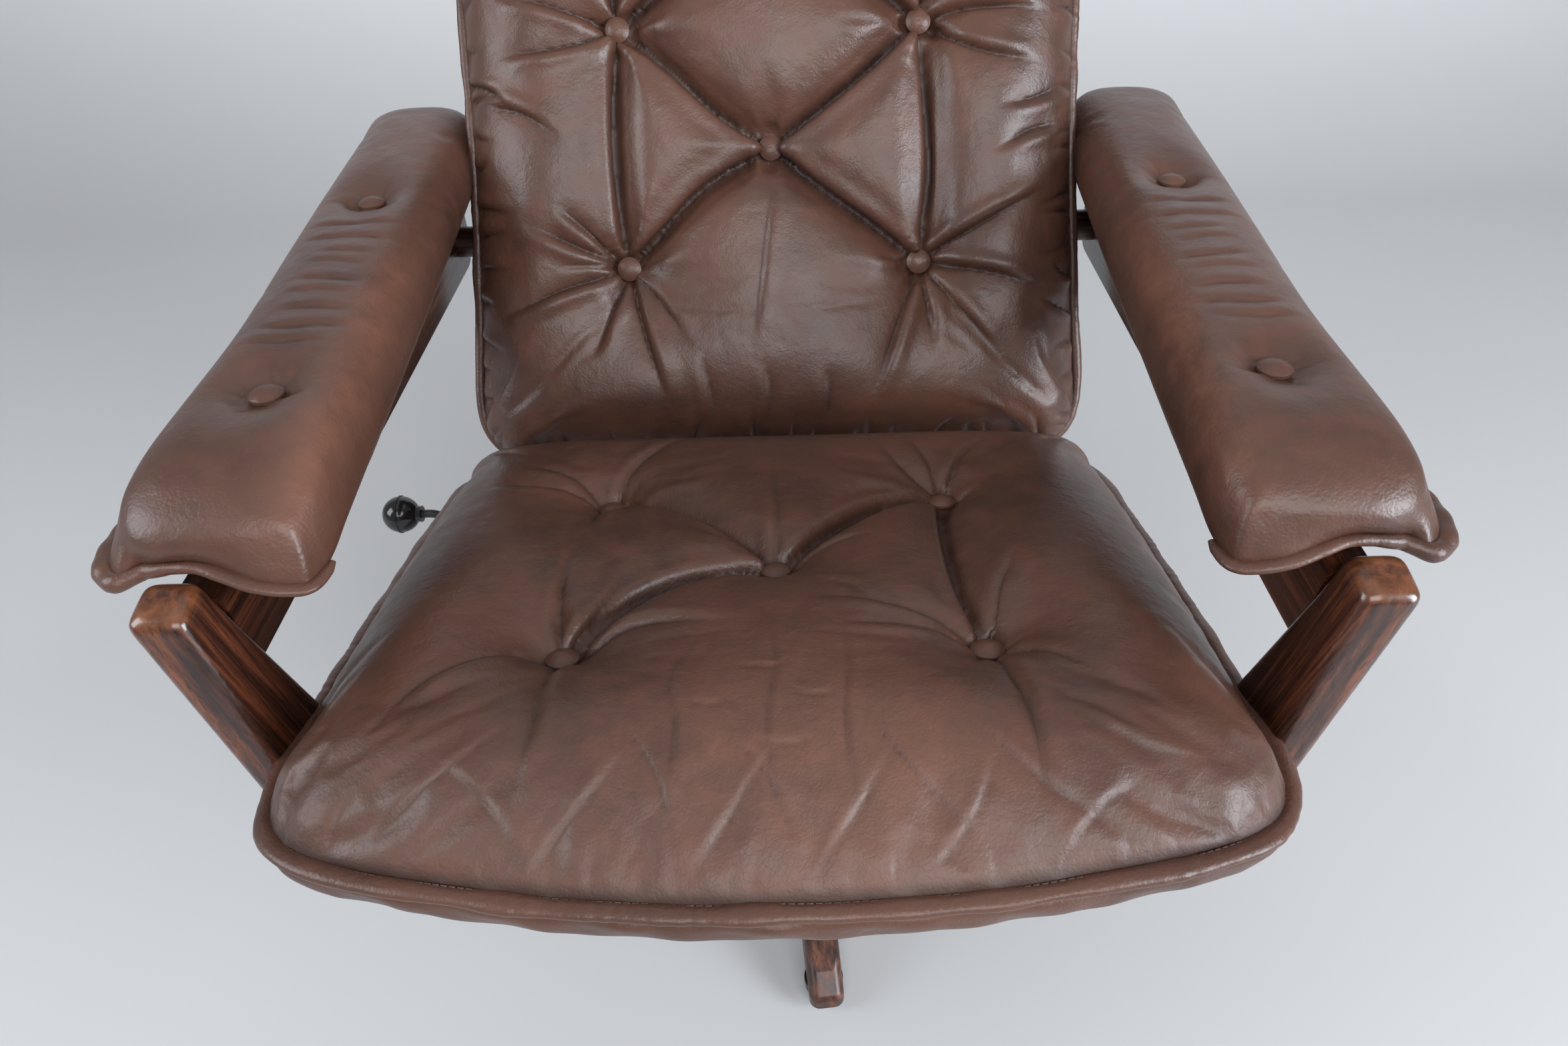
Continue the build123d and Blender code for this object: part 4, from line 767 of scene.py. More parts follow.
def stitches_along(name, path, way_out, shift, lift, spacing, length, thickness):
    """Row of thread stitches beside a welt."""
    closed, steps = closed_up(path)
    marks = np.arange(0, steps[-1], spacing)
    bpy.ops.object.select_all(action="DESELECT")
    lying = (0, pi / 2, 0)
    bpy.ops.mesh.primitive_cylinder_add(vertices=6, radius=thickness / 2, depth=length, rotation=lying)
    thread = bpy.context.object
    bpy.ops.object.transform_apply(location=False, rotation=True, scale=False)
    thread.data.name = "thread"
    verts = points_of(thread)
    verts[:, 2] -= (np.abs(verts[:, 0]) / (length / 2)) ** 2 * thickness * 0.6
    faces = [tuple(face.vertices) for face in thread.data.polygons]
    bpy.data.objects.remove(thread)
    all_verts, all_faces = [], []
    for mark in marks:
        i = min(np.searchsorted(steps, mark, side="right"), len(path)) - 1
        way = closed[i + 1] - closed[i]
        share = (mark - steps[i]) / max(np.linalg.norm(way), 1e-9)
        centre = closed[i] + way * share + np.array([*(-way_out[i] * shift), lift])
        way = way / np.linalg.norm(way)
        side = np.cross((0, 0, 1), way)
        turn = np.column_stack([way, side, np.cross(way, side)])
        all_faces += [tuple(v + len(all_verts) * len(verts) for v in face) for face in faces]
        all_verts.append(verts @ turn.T + centre)
    mesh = bpy.data.meshes.new(name)
    mesh.from_pydata([tuple(v) for block in all_verts for v in block], [], all_faces)
    return new_piece(name, mesh)


FRONT_LEFT, FRONT_RIGHT, MIDDLE, REAR_LEFT, REAR_RIGHT = SEAT_BUTTONS
SEAT_PLEATS = [
    [FRONT_LEFT, (-0.105, 0.050), (-0.071, 0.080), (-0.030, 0.098), MIDDLE],
    [MIDDLE, (-0.022, 0.135), (-0.058, 0.172), (-0.095, 0.198), REAR_LEFT],
    [MIDDLE, (0.036, 0.150), (0.070, 0.185), (0.104, 0.204), REAR_RIGHT],
    [FRONT_RIGHT, (0.126, 0.055), (0.125, 0.110), (0.128, 0.165), REAR_RIGHT],
]
SEAT_FOLDS = [
    ([FRONT_LEFT, (-0.143, 0.040), (-0.146, 0.085), (-0.143, 0.120)], 0.004),
    ([FRONT_LEFT, (-0.112, 0.055), (-0.098, 0.105)], 0.004),
    ([REAR_LEFT, (-0.141, 0.180), (-0.138, 0.140)], 0.005),
    ([MIDDLE, (0.002, 0.175), (-0.004, 0.260)], 0.003),
    ([MIDDLE, (-0.040, 0.135), (-0.075, 0.150)], 0.002),
    ([MIDDLE, (0.045, 0.120), (0.085, 0.128)], 0.002),
    ([FRONT_LEFT, (-0.165, -0.014), (-0.200, -0.045), (-0.235, -0.115)], 0.003),
    ([FRONT_LEFT, (-0.102, 0.012), (-0.070, 0.014), (-0.020, -0.002)], 0.004),
    ([FRONT_LEFT, (-0.132, -0.055), (-0.131, -0.100), (-0.140, -0.160)], 0.003),
    ([FRONT_RIGHT, (0.100, 0.022), (0.060, 0.034), (0.015, 0.030)], 0.004),
    ([FRONT_RIGHT, (0.085, 0.008), (0.030, -0.004)], 0.003),
    ([FRONT_RIGHT, (0.165, -0.025), (0.200, -0.070)], 0.003),
    ([FRONT_RIGHT, (0.138, -0.050), (0.142, -0.100), (0.138, -0.160)], 0.004),
    ([REAR_LEFT, (-0.185, 0.222), (-0.245, 0.215)], 0.003),
    ([REAR_LEFT, (-0.175, 0.245), (-0.225, 0.262)], 0.003),
    ([REAR_LEFT, (-0.118, 0.265), (-0.075, 0.315)], 0.004),
    ([REAR_RIGHT, (0.128, 0.260), (0.110, 0.305)], 0.003),
    ([REAR_RIGHT, (0.158, 0.265), (0.190, 0.310)], 0.004),
    ([REAR_RIGHT, (0.105, 0.250), (0.085, 0.290)], 0.003),
    ([FRONT_RIGHT, (0.150, 0.050), (0.175, 0.100)], 0.003),
]
SEAT_CRACKS = [
    [(-0.005, 0.010), (0.002, -0.045), (-0.002, -0.100), (0.002, -0.165)],
    [(-0.045, -0.010), (-0.058, -0.060), (-0.052, -0.110), (-0.062, -0.165)],
    [(0.042, 0.005), (0.044, -0.050), (0.040, -0.105), (0.046, -0.170)],
    [(-0.020, -0.052), (-0.004, -0.055), (0.014, -0.050)],
    [(0.010, -0.078), (0.026, -0.082), (0.038, -0.078)],
    [(-0.050, -0.084), (-0.034, -0.088), (-0.018, -0.085)],
    [(-0.010, -0.112), (0.008, -0.116), (0.026, -0.111)],
]
FRONT_WRINKLES = [
    ([(-0.215, -0.145), (-0.175, -0.120), (-0.130, -0.085)], 0.003),
    ([(-0.185, -0.110), (-0.150, -0.135), (-0.120, -0.168)], 0.003),
    ([(-0.125, -0.165), (-0.098, -0.140), (-0.070, -0.110)], 0.0035),
    ([(-0.085, -0.095), (-0.060, -0.130), (-0.045, -0.172)], 0.003),
    ([(-0.040, -0.170), (-0.015, -0.140), (0.010, -0.105)], 0.0035),
    ([(-0.028, -0.105), (0.000, -0.135), (0.018, -0.175)], 0.003),
    ([(0.020, -0.172), (0.045, -0.145), (0.070, -0.110)], 0.003),
    ([(0.048, -0.095), (0.075, -0.130), (0.110, -0.160)], 0.0035),
    ([(0.075, -0.172), (0.105, -0.145), (0.125, -0.105)], 0.003),
    ([(0.105, -0.100), (0.140, -0.130), (0.180, -0.150)], 0.0035),
    ([(0.140, -0.168), (0.170, -0.140), (0.205, -0.120)], 0.003),
    ([(0.165, -0.090), (0.200, -0.110), (0.240, -0.118)], 0.003),
]
SEAT_CENTRE = (0.0, 0.10)
UNDERSIDE_LEVEL = -0.073
FRONT_FROM = -0.06
FRONT_BULGE = 0.007
FRONT_FOLD = 0.0007


def hanging_front(at):
    """Lets the cover under the front seam bulge forward in loose folds."""
    out = at[:, :2] - SEAT_CENTRE
    out /= np.maximum(np.linalg.norm(out, axis=1, keepdims=True), 1e-6)
    under = ramp((SEAM_LEVEL - at[:, 2]) / 0.012) * ramp((at[:, 2] - UNDERSIDE_LEVEL) / 0.018)
    under *= ramp((FRONT_FROM - at[:, 1]) / 0.06)
    folds = np.sin(95 * at[:, 0] + 240 * at[:, 2]) + 0.6 * np.sin(171 * at[:, 0] - 150 * at[:, 2] + 1.0)
    loose = at.copy()
    loose[:, :2] += out * (under * (FRONT_BULGE + FRONT_FOLD * folds))[:, None]
    return loose


SEAT_WELT = (0.0064, 0.0038)
SEAT_WELT_OUT = 0.0035
SEAT_WELT_WAVE = 0.0011
SEAT_FAN = 6
DULL_FROM = -0.05
DULL_BLEND = 0.08
RUBBED_AT = (0.01, -0.11)
RUBBED_SPREAD = (0.10, 0.07)

seat, seat_rim = tufted_cushion(
    "seat_cushion", "seat_leather_cushion", SEAT, SEAT_BUTTONS, SEAT_PLEATS,
    pleat_depth=0.012, pleat_width=0.016, centre=SEAT_CENTRE,
)
rng = np.random.default_rng(7)
seat_creases = Creases()
for pleat in SEAT_PLEATS:
    seat_creases.fold(pleat, 0.007, steep=0.0024, gentle=0.012, roll=0.003, start=0.05, end=0.05)
for line, depth in SEAT_FOLDS:
    start = lead_in(line, SEAT_BUTTONS)
    seat_creases.fold(line, 0.8 * depth, steep=0.0024, gentle=0.008, roll=0.4 * depth, start=start, end=0.5)
for line, depth in FRONT_WRINKLES:
    seat_creases.fold(line, 0.42 * depth, steep=0.0011, gentle=0.0022, roll=0.2 * depth, start=0.3, end=0.5)
for line in SEAT_CRACKS:
    seat_creases.fold(line, 0.0011, steep=0.0010, gentle=0.0018, roll=0.0005, start=0.3, end=0.4)
for button in SEAT_BUTTONS:
    seat_creases.fan(button, SEAT_FAN, (0.02, 0.045), rng)
rim_puckers(seat_creases, seat_rim, rng, spacing=(0.018, 0.060), length=(0.010, 0.030), depth=0.0008)
seat_buttons_in(seat, SEAT_BUTTONS, TUFT_SEAT, DIMPLE, DIMPLE_ABOVE)
at = hanging_front(points_of(seat))
set_points(seat, at)
seat_creases.lay_in(seat, ramp((at[:, 2] - SEAM_LEVEL) / FACE_BLEND), groove_shade=seam_groove_shade(at))
at = points_of(seat)
off = (at[:, :2] - RUBBED_AT) / RUBBED_SPREAD
rubbed = np.exp(-(off ** 2).sum(axis=1)) * (at[:, 2] > SEAM_LEVEL)
set_attribute(seat, "worn", 0.22 * rubbed)
front = ramp((DULL_FROM - at[:, 1]) / DULL_BLEND) * ramp((at[:, 2] - SEAM_LEVEL) / FACE_BLEND)
set_attribute(seat, "crazed", np.maximum(rubbed, 0.6 * front))
seat.data.transform(SEAT)
finish_piece(seat, "seat", "leather", LEATHER, "seat_cushion")

seat_welt, path, out = welt("seat_welt", seat_rim, SEAM_LEVEL, SEAT_WELT_OUT, *SEAT_WELT, SEAT_WELT_WAVE, rng)
seat_thread = stitches_along(
    "seat_stitches", path, out, shift=0.0035, lift=0.0034, spacing=0.0046, length=0.0034, thickness=0.0011,
)
for trim, material in ((seat_welt, LEATHER), (seat_thread, THREAD)):
    trim.data.transform(SEAT)
    finish_piece(trim, "seat", "leather", material)

LOW_LEFT, LOW_RIGHT, LOW_MIDDLE, MID_LEFT, MID_RIGHT, HIGH_MIDDLE, TOP_LEFT, TOP_RIGHT = BACK_BUTTONS
BACK_PLEATS = [
    [LOW_MIDDLE, (-0.048, 0.136), (-0.092, 0.176), MID_LEFT],
    [MID_RIGHT, (0.090, 0.170), (0.045, 0.136), LOW_MIDDLE],
    [LOW_LEFT, (-0.100, 0.034), (-0.062, 0.070), LOW_MIDDLE],
    [LOW_MIDDLE, (0.045, 0.068), (0.092, 0.034), LOW_RIGHT],
    [LOW_LEFT, (-0.141, 0.070), (-0.141, 0.140), MID_LEFT],
    [LOW_RIGHT, (0.143, 0.070), (0.141, 0.140), MID_RIGHT],
    [MID_LEFT, (-0.090, 0.245), (-0.045, 0.280), HIGH_MIDDLE],
    [HIGH_MIDDLE, (0.048, 0.278), (0.092, 0.244), MID_RIGHT],
    [HIGH_MIDDLE, (-0.045, 0.350), (-0.090, 0.384), TOP_LEFT],
    [TOP_RIGHT, (0.090, 0.382), (0.046, 0.346), HIGH_MIDDLE],
    [MID_LEFT, (-0.142, 0.280), (-0.140, 0.350), TOP_LEFT],
    [MID_RIGHT, (0.142, 0.278), (0.141, 0.350), TOP_RIGHT],
]
BACK_FOLDS = [
    ([LOW_LEFT, (-0.165, 0.030), (-0.200, 0.062)], 0.006),
    ([LOW_LEFT, (-0.182, 0.022), (-0.232, 0.045)], 0.006),
    ([LOW_LEFT, (-0.170, 0.004), (-0.205, 0.002)], 0.003),
    ([LOW_LEFT, (-0.196, -0.018), (-0.262, -0.045)], 0.007),
    ([LOW_LEFT, (-0.152, -0.040), (-0.172, -0.085)], 0.006),
    ([LOW_LEFT, (-0.120, -0.064), (-0.100, -0.130)], 0.006),
    ([LOW_LEFT, (-0.100, -0.040), (-0.075, -0.080)], 0.003),
    ([LOW_RIGHT, (0.195, 0.034), (0.258, 0.066)], 0.006),
    ([LOW_RIGHT, (0.196, -0.012), (0.256, -0.028)], 0.006),
    ([LOW_RIGHT, (0.110, -0.066), (0.085, -0.138)], 0.006),
    ([LOW_RIGHT, (0.141, -0.040), (0.150, -0.085)], 0.005),
    ([LOW_RIGHT, (0.172, -0.046), (0.213, -0.092)], 0.004),
    ([MID_RIGHT, (0.190, 0.215), (0.255, 0.212)], 0.006),
    ([MID_RIGHT, (0.185, 0.180), (0.250, 0.168)], 0.005),
    ([MID_LEFT, (-0.185, 0.192), (-0.250, 0.185)], 0.006),
    ([MID_LEFT, (-0.190, 0.226), (-0.255, 0.240)], 0.005),
    ([(-0.270, 0.150), (-0.220, 0.135), (-0.180, 0.108)], 0.004),
    ([(0.272, 0.120), (0.235, 0.112), (0.195, 0.090)], 0.005),
    ([(0.272, 0.155), (0.240, 0.140), (0.200, 0.132)], 0.004),
    ([TOP_LEFT, (-0.190, 0.425), (-0.255, 0.418)], 0.006),
    ([TOP_LEFT, (-0.165, 0.455), (-0.190, 0.485)], 0.005),
    ([TOP_LEFT, (-0.105, 0.450), (-0.085, 0.485)], 0.005),
    ([TOP_RIGHT, (0.190, 0.412), (0.255, 0.420)], 0.006),
    ([TOP_RIGHT, (0.162, 0.452), (0.195, 0.480)], 0.005),
    ([TOP_RIGHT, (0.112, 0.455), (0.098, 0.488)], 0.005),
    ([HIGH_MIDDLE, (0.004, 0.370), (-0.002, 0.440)], 0.003),
    ([(0.003, 0.085), (-0.008, 0.020), (-0.022, -0.085)], 0.002),
    ([(-0.060, -0.145), (-0.062, -0.110), (-0.070, -0.075)], 0.003),
    ([(-0.010, -0.150), (-0.005, -0.115), (-0.012, -0.080)], 0.003),
    ([(0.045, -0.150), (0.050, -0.118), (0.046, -0.090)], 0.003),
]
BACK_CENTRE = (0.0, 0.165)
BACK_WELT = (0.0052, 0.0046)
BACK_WELT_OUT = 0.0014
BACK_WELT_WAVE = 0.0012
BACK_FAN = 4
UPRIGHT_SHARE = 0.65

back, back_rim = tufted_cushion(
    "back_cushion", "back_leather_cushion", BACK, BACK_BUTTONS, BACK_PLEATS,
    pleat_depth=0.017, pleat_width=0.017, centre=BACK_CENTRE,
)
rng = np.random.default_rng(11)
back_creases = Creases()
for pleat in BACK_PLEATS:
    share = UPRIGHT_SHARE if abs(pleat[0][0] - pleat[-1][0]) < BUTTON_RADIUS else 1.0
    depth = 0.0075 * share
    back_creases.fold(pleat, depth, steep=0.0026, gentle=0.014, roll=0.0055 * share, start=0.05, end=0.05)
for line, depth in BACK_FOLDS:
    start = lead_in(line, BACK_BUTTONS)
    back_creases.fold(line, depth, steep=0.0026, gentle=0.012, roll=0.6 * depth, start=start, end=0.5)
for button in BACK_BUTTONS:
    back_creases.fan(button, BACK_FAN, (0.025, 0.05), rng)
rim_puckers(back_creases, back_rim, rng, spacing=(0.016, 0.042), length=(0.02, 0.055), depth=0.0036)
seat_buttons_in(back, BACK_BUTTONS, TUFT_SEAT, DIMPLE, DIMPLE_ABOVE)
at = points_of(back)
back_creases.lay_in(back, ramp((at[:, 2] - SEAM_LEVEL) / FACE_BLEND), groove_shade=seam_groove_shade(at))
set_attribute(back, "worn", np.zeros(len(at)))
back.data.transform(BACK)
finish_piece(back, "seat", "leather", LEATHER, "back_cushion")

back_welt = welt("back_welt", back_rim, SEAM_LEVEL, BACK_WELT_OUT, *BACK_WELT, BACK_WELT_WAVE, rng)[0]
back_welt.data.transform(BACK)
finish_piece(back_welt, "seat", "leather", LEATHER)


# Arm pads

ARM_WRINKLES = [0.161, 0.183, 0.200, 0.225, 0.243, 0.266, 0.287, 0.314, 0.340]
ARCH_ACROSS = 0.074
# Rolled lip round the right pad's front, by the angle about its centre: half width and half height
LIP_CENTRE = (0.060, 0.100)
LIP_LEVEL = 0.011
LIP_ANGLES = (-122, -119, -114, -95, -76, -64, -55, -46, -34, -18, 8)
LIP_HALF_WIDTHS = (0.0016, 0.0044, 0.0058, 0.0056, 0.0036, 0.0055, 0.0075, 0.0078, 0.0060, 0.0042, 0.0012)
LIP_HALF_HEIGHTS = (0.0012, 0.0026, 0.0030, 0.0030, 0.0036, 0.0052, 0.0070, 0.0074, 0.0058, 0.0042, 0.0012)
GATHERS_AT = -50
GATHERS_SPREAD = 22
CORNER_CENTRE = (0.036, 0.030)
CORNER_SQUARING = 0.5
ARCH_RISE = 0.008
ARCH_SPREAD = 0.031
INNER_DROP = 0.006
INNER_SPREAD = 0.026
OUTER_DROP = 0.0015
FRONT_DROOP = 0.22
TOP_FLARE = 0.012
LOW_FLARE = 0.016
TOP_FORWARD = 0.012
INNER_FORWARD = 0.021
OUTER_FORWARD = 0.017
PAD_SEAM = 0.008
PAD_FACE = 0.03
FACE_BLEND_PAD = 0.015
PAD_TUFT = 0.022
PAD_DIMPLE = 0.0135
PAD_FAN = 8
PAD_PINCH = 0.008
RIDGE_AT = 0.010
RIDGE_SPREAD = 0.013


def edge_rise(x, y):
    """How far the pad's lower front edge arches over the post, or hangs beside it."""
    over_post = ARCH_RISE * bell((x - ARCH_ACROSS) / ARCH_SPREAD) * ramp(1 - y / 0.04)
    inner_tip = INNER_DROP * bell(x / INNER_SPREAD) * ramp(1 - y / 0.05)
    outer_tip = OUTER_DROP * ramp((x - 0.106) / 0.015) * ramp(1 - y / 0.10)
    return over_post - inner_tip - outer_tip


def shape_front(at):
    """Squares the pad's inner front corner, flares its outer one, and draws its front down round the post."""
    shaped = at.copy()
    off = at[:, :2] - CORNER_CENTRE
    corner = (off[:, 0] < 0) & (off[:, 1] < 0)
    reach = np.maximum(np.hypot(off[:, 0], off[:, 1]), 1e-6)
    square = reach / np.maximum(np.abs(off).max(axis=1), 1e-6) - 1
    grow = np.where(corner, 1 + CORNER_SQUARING * square * ramp(reach / 0.02), 1)
    shaped[:, :2] = CORNER_CENTRE + off * grow[:, None]
    low = ramp(1 - at[:, 2] / 0.045)
    flare = ramp((shaped[:, 0] - 0.05) / 0.055) * ramp(1 - shaped[:, 1] / 0.22)
    shaped[:, 0] += (TOP_FLARE + LOW_FLARE * low) * flare
    x, y, z = shaped.T.copy()
    inner = ramp((0.078 - x) / 0.050)
    outer = ramp((x - 0.104) / 0.012)
    forward = TOP_FORWARD * (1 - low) + low * (INNER_FORWARD * inner + OUTER_FORWARD * outer)
    shaped[:, 1] -= forward * ramp(1 - y / 0.09)
    shaped[:, 2] *= 1 - FRONT_DROOP * ramp(1 - y / 0.085) ** 2
    shaped[:, 2] += low * edge_rise(x, y)
    return shaped


def arm_pad(name, rng):
    """Right arm's leather pad: flat-topped and buttoned, with its front end drawn down over the lip."""
    piece = copy_of_solid("arm_pad_right", name, ARM)
    even_mesh(piece, VOXEL)
    soften(piece, 3)
    at = points_of(piece)
    held = at[:, 2] < PAD_SEAM
    for x, y in ARM_BUTTONS:
        away = np.hypot(at[:, 0] - x, at[:, 1] - y)
        dip = bell(away / PAD_TUFT) * (at[:, 2] > PAD_FACE)
        at[:, 2] += (ARM_TUFT_SEAT - at[:, 2]) * dip
        held |= (away < 1.1 * BUTTON_RADIUS) & (at[:, 2] > PAD_FACE)
    set_points(piece, at)
    inflate(piece, held, PAD_CAP)
    subdivide(piece)
    set_points(piece, shape_front(points_of(piece)))
    soften(piece, 5)
    creases = Creases()
    for place in ARM_WRINKLES:
        first, last = rng.uniform(0.008, 0.03), rng.uniform(0.07, 0.098)
        lean = rng.uniform(-0.006, 0.006)
        middle = place + lean / 2 + rng.uniform(-0.003, 0.003)
        line = [(first, place), ((first + last) / 2, middle), (last, place + lean)]
        depth = rng.uniform(0.0010, 0.0018)
        creases.fold(line, depth, steep=0.0022, gentle=0.005, roll=0.0006, start=0.25, end=0.35)
    for button in ARM_BUTTONS:
        creases.fan(button, PAD_FAN, (0.014, 0.032), rng)
    seat_buttons_in(piece, ARM_BUTTONS, ARM_TUFT_SEAT, PAD_DIMPLE, PAD_FACE)
    creases.lay_in(piece, ramp((points_of(piece)[:, 2] - PAD_FACE) / FACE_BLEND_PAD), PAD_PINCH)
    return piece


def arm_lip(name, pad):
    """Rolled leather lip: a flat flange inside, thin behind the post, a gathered roll at the outer corner."""
    at = points_of(pad)
    at[:, 2] -= edge_rise(at[:, 0], at[:, 1])
    rim = rim_of(at, LIP_LEVEL, LIP_CENTRE, 360)
    out = rim - LIP_CENTRE
    angle = np.degrees(np.arctan2(out[:, 1], out[:, 0]))
    kept = np.flatnonzero((angle > LIP_ANGLES[0]) & (angle < LIP_ANGLES[-1]))
    course = smooth_line(rim[kept[::3]], 6)
    out = course - LIP_CENTRE
    angle = np.degrees(np.arctan2(out[:, 1], out[:, 0]))
    out /= np.linalg.norm(out, axis=1, keepdims=True)
    width = np.interp(angle, LIP_ANGLES, LIP_HALF_WIDTHS)
    height = np.interp(angle, LIP_ANGLES, LIP_HALF_HEIGHTS)
    gathers = bell((angle - GATHERS_AT) / GATHERS_SPREAD)
    ripple = np.sin(angle * 0.9) + 0.6 * np.sin(angle * 0.61 + 1.3)
    swell = 1 + 0.03 * gathers * ripple
    level = LIP_LEVEL - 0.002 + edge_rise(course[:, 0], course[:, 1])
    path = np.column_stack([course + out * (0.3 * width)[:, None], level + 0.0002 * gathers * ripple])
    return tube_along(name, path, width * swell, height * swell, closed=False)


def mirrored(piece, name):
    """Copy of a right-hand piece for the left, turned the right way out."""
    copy = new_piece(name, piece.data.copy())
    copy.data.transform(MIRROR)
    copy.data.flip_normals()
    return copy


rng = np.random.default_rng(5)
arm_right = arm_pad("arm_leather_right", rng)
at = points_of(arm_right)
ridge = bell((at[:, 0] - RIDGE_AT) / RIDGE_SPREAD) * ramp((at[:, 2] - 0.02) / 0.03)
set_attribute(arm_right, "worn", 0.3 * ridge * ramp((0.40 - at[:, 1]) / 0.2))
arm_lip_right = arm_lip("arm_lip_right", arm_right)
for piece in (arm_right, arm_lip_right):
    piece.data.transform(ARM)
arm_left = mirrored(arm_right, "arm_leather_left")
arm_lip_left = mirrored(arm_lip_right, "arm_lip_left")
for piece, node in ((arm_right, "arm_pad_right"), (arm_left, "arm_pad_left")):
    finish_piece(piece, "seat", "leather", LEATHER, node)
for piece in (arm_lip_right, arm_lip_left):
    finish_piece(piece, "seat", "leather", LEATHER)


# Front posts

POST_TOP = 0.505
TOP_FRONT = -0.356
TOP_DEPTH = 0.035
TOP_RISE = 0.005
TOP_BLEND = 0.03
POST_VOXEL = 0.002
WORN_BELOW = 0.001
WORN_BLEND = 0.004


def front_post(node, name, material):
    """Post with softened edges and its finish worn off the domed top."""
    piece = copy_of_solid(node, name, Matrix.Identity(4))
    even_mesh(piece, POST_VOXEL)
    soften(piece, 6)
    at = points_of(piece)
    set_attribute(piece, "worn", ramp((at[:, 2] - POST_TOP + WORN_BELOW) / WORN_BLEND))
    near_top = ramp((at[:, 2] - POST_TOP + TOP_BLEND) / TOP_BLEND)
    at[:, 2] += TOP_RISE * ramp((at[:, 1] - TOP_FRONT) / TOP_DEPTH) * near_top
    set_points(piece, at)
    finish_piece(piece, "seat", "stained_wood", material, node)


front_post("front_post_right", "post_right", WOOD_POST_RIGHT)
front_post("front_post_left", "post_left", WOOD_POST_LEFT)


# Rear cover

COVER_CROWN = 0.007
COVER_DRAW = 0.09
COVER_VOXEL = 0.003
COVER_WELT = 0.0042
COVER_WELT_WAVE = 0.0004
cover = copy_of_solid("back_cover", "back_cover_leather", BACK)
even_mesh(cover, COVER_VOXEL)
at = points_of(cover)
cover_level = (at[:, 2].min() + at[:, 2].max()) / 2
cover_rim = rim_of(at, cover_level, BACK_CENTRE)
behind = ramp((cover_level - at[:, 2]) / 0.0015)
inside = inside_rim(cover_rim, at[:, :2])
at[:, 2] -= COVER_CROWN * ramp(inside / COVER_DRAW) * behind
set_points(cover, at)
soften(cover, 3)
rng = np.random.default_rng(17)
cover_creases = Creases()
rim_puckers(cover_creases, cover_rim, rng, spacing=(0.030, 0.080), length=(0.02, 0.06), depth=0.0012)
cover_creases.lay_in(cover, behind)
cover_welt = welt(
    "cover_welt", cover_rim, cover_level - 0.001, 0.0, COVER_WELT, COVER_WELT, COVER_WELT_WAVE, rng,
)[0]
for piece, replaced in ((cover, ("back_cover",)), (cover_welt, ())):
    piece.data.transform(BACK)
    finish_piece(piece, "seat", "leather", LEATHER, *replaced)


# Tilt springs

COIL_EDGE = radians(40.0)


def tilt_spring(node, name):
    """Coil copied from its solid in black steel, shaded smooth by angle, standing in for the solid."""
    piece = copy_of_solid(node, name, Matrix.Identity(4))
    finish_piece(piece, "swivel", "black_steel", BLACK_STEEL, node)
    bpy.ops.object.shade_smooth_by_angle(angle=COIL_EDGE)
    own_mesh(piece)


tilt_spring("tilt_spring_right", "spring_right")
tilt_spring("tilt_spring_left", "spring_left")


# Finishes of the solids that stay in view

def paint(material, *nodes):
    for node in nodes:
        slots = NODES[node].data.materials
        slots.clear()
        slots.append(material)


paint(BUTTON_LEATHER, "seat_buttons", "back_buttons", "arm_buttons")
paint(WOOD_STILE, "back_stile_left", "back_stile_right")
paint(WOOD_LENGTHWISE, "seat_side_rail_left", "seat_side_rail_right", "arm_rail_left", "arm_rail_right",
      "arm_board_left", "arm_board_right")
paint(WOOD_CROSSWISE, "seat_front_rail", "arm_spacers", "back_top_rail")
for leg in range(LEG_COUNT):
    to_grain = Matrix.Rotation(pi / 2, 3, "Y") @ Matrix.Rotation(-LEG_TURN - 2 * pi * leg / LEG_COUNT, 3, "Z")
    leg_wood = lacquered_wood(f"leg_wood_{leg + 1}", to_grain.to_euler(), LEG_COAT)
    paint(leg_wood, f"base_leg_{leg + 1}")
paint(RAW_CROSSWISE, "seat_cross_rail", "seat_rear_rail", "back_bottom_rail")
paint(WEBBING, "seat_webbing", "back_webbing")
paint(BLACK_STEEL, "base_hub", "tilt_housing", "lock_sector", "tilt_plate", "back_brackets", "lock_lever")
paint(BRIGHT_STEEL, "leg_bolts", "spindle", "retaining_clip", "tilt_axle", "axle_clips", "sector_screws",
      "stop_pin", "plate_screws", "lever_pivot", "bracket_screws", "post_bolts", "arm_bolts")
paint(NYLON, "upper_bush", "lower_bush", "thrust_washer", "tilt_bushes")
paint(BLACK_PLASTIC, "base_glides", "lever_knob")


# Floor, light and camera

FLOOR_TONE = (0.49, 0.49, 0.495)
WALL_TONE = (0.70, 0.705, 0.715)
FAINT_GREY = (0.3, 0.3, 0.3)
SKY_TONE = (0.86, 0.88, 0.92, 1)
SKY_STRENGTH = 0.34


def stage_material(name, low, high):
    """Matt paper sweep, a little paler up the wall."""
    material, tree, surface = shader(name)
    spot = add_node(tree, "ShaderNodeTexCoord")
    height = add_node(tree, "ShaderNodeSeparateXYZ", vector=spot.outputs["Object"]).outputs["Z"]
    tone = mix(tree, spread(tree, height, 0.0, 0.5), low, high)
    faint = noise(tree, place_on(tree), 3.0, 2.0)
    tone = mix(tree, spread(tree, faint, 0.3, 0.7, 0.0, 0.03), tone, FAINT_GREY)
    feed(tree, surface, base_color=tone, roughness=0.6)
    return material


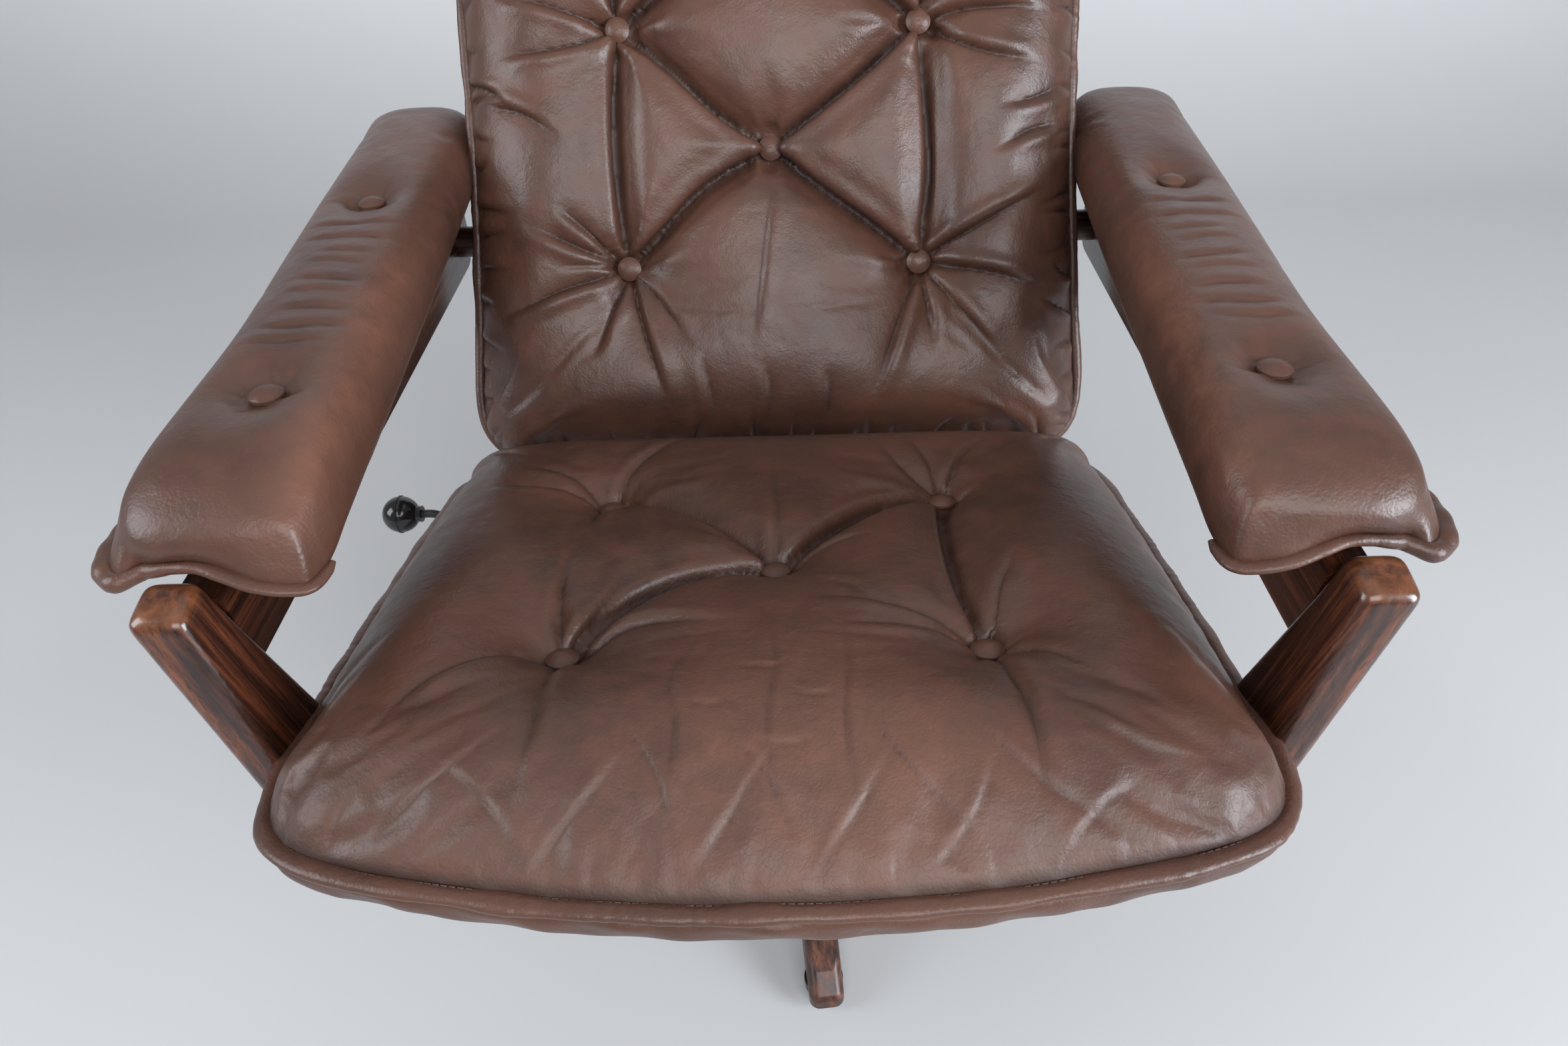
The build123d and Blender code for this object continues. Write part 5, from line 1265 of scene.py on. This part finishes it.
FLOOR_REACH = 5.0
WALL_AT = 2.4
WALL_HEIGHT = 4.0
COVE = 1.0
COVE_STEPS = 24
turns = [pi / 2 * step / COVE_STEPS for step in range(COVE_STEPS + 1)]
cove = [(WALL_AT - COVE + COVE * sin(turn), COVE - COVE * cos(turn)) for turn in turns]
sweep = [(WALL_AT - 2 * FLOOR_REACH, 0), *cove, (WALL_AT, WALL_HEIGHT)]
corners = [(x, y, z) for y, z in sweep for x in (-FLOOR_REACH, FLOOR_REACH)]
paper = bpy.data.meshes.new("floor")
paper.from_pydata(corners, [], [(i, i + 1, i + 3, i + 2) for i in range(0, len(corners) - 2, 2)])
floor = new_piece("floor", paper)
bpy.ops.object.shade_smooth()
floor.data.materials.append(stage_material("pale_floor", FLOOR_TONE, WALL_TONE))


def soft_light(name, place, target, size, power, colour):
    lamp = bpy.data.lights.new(name, "AREA")
    lamp.shape = "RECTANGLE"
    lamp.size, lamp.size_y = size
    lamp.energy = power
    lamp.color = colour
    holder = bpy.data.objects.new(name, lamp)
    bpy.context.scene.collection.objects.link(holder)
    holder.location = place
    holder.rotation_euler = (Vector(target) - Vector(place)).to_track_quat("-Z", "Y").to_euler()


soft_light("window_right", (2.5, -1.6, 1.3), (0, 0.1, 0.5), (1.3, 1.7), 118, (0.88, 0.94, 1.0))
soft_light("window_left", (-2.4, -0.8, 1.7), (0, 0.1, 0.5), (1.3, 1.6), 44, (0.90, 0.95, 1.0))
soft_light("ceiling", (0, 0.2, 2.9), (0, 0, 0.4), (2.6, 2.6), 9, (1.0, 0.98, 0.95))
soft_light("room", (0.3, -2.4, 2.3), (0, 0.3, 0.7), (2.2, 1.6), 58, (0.97, 0.98, 1.0))

world = bpy.data.worlds.new("studio")
world.use_nodes = True
feed(world.node_tree, world.node_tree.nodes["Background"], color=SKY_TONE, strength=SKY_STRENGTH)
bpy.context.scene.world = world
bpy.context.scene.view_settings.view_transform = "Standard"

# Camera: fitted to the seat and back buttons, 39 degrees down from just in front of and above the seat
PICTURE_WIDTH = 2350.0
FOCAL_PIXELS = 1560.0
SENSOR = 36.0
CAMERA_AT = (0.017, -0.762, 0.902)
LOOK_DOWN = radians(39.0)
LOOK_YAW = radians(-1.0)
LOOK_ROLL = radians(-2.0)
ahead = Vector((sin(LOOK_YAW) * cos(LOOK_DOWN), cos(LOOK_YAW) * cos(LOOK_DOWN), -sin(LOOK_DOWN)))
level = Vector((cos(LOOK_YAW), -sin(LOOK_YAW), 0))
rise = level.cross(ahead)
right = level * cos(LOOK_ROLL) + rise * sin(LOOK_ROLL)
above = rise * cos(LOOK_ROLL) - level * sin(LOOK_ROLL)
lens = bpy.data.cameras.new("photo_view")
lens.sensor_fit = "HORIZONTAL"
lens.sensor_width = SENSOR
lens.lens = FOCAL_PIXELS / PICTURE_WIDTH * SENSOR
lens.clip_start = 0.02
camera = bpy.data.objects.new("photo_view", lens)
bpy.context.scene.collection.objects.link(camera)
camera.matrix_world = Matrix((right, above, -ahead)).transposed().to_4x4()
camera.location = CAMERA_AT
bpy.context.scene.camera = camera
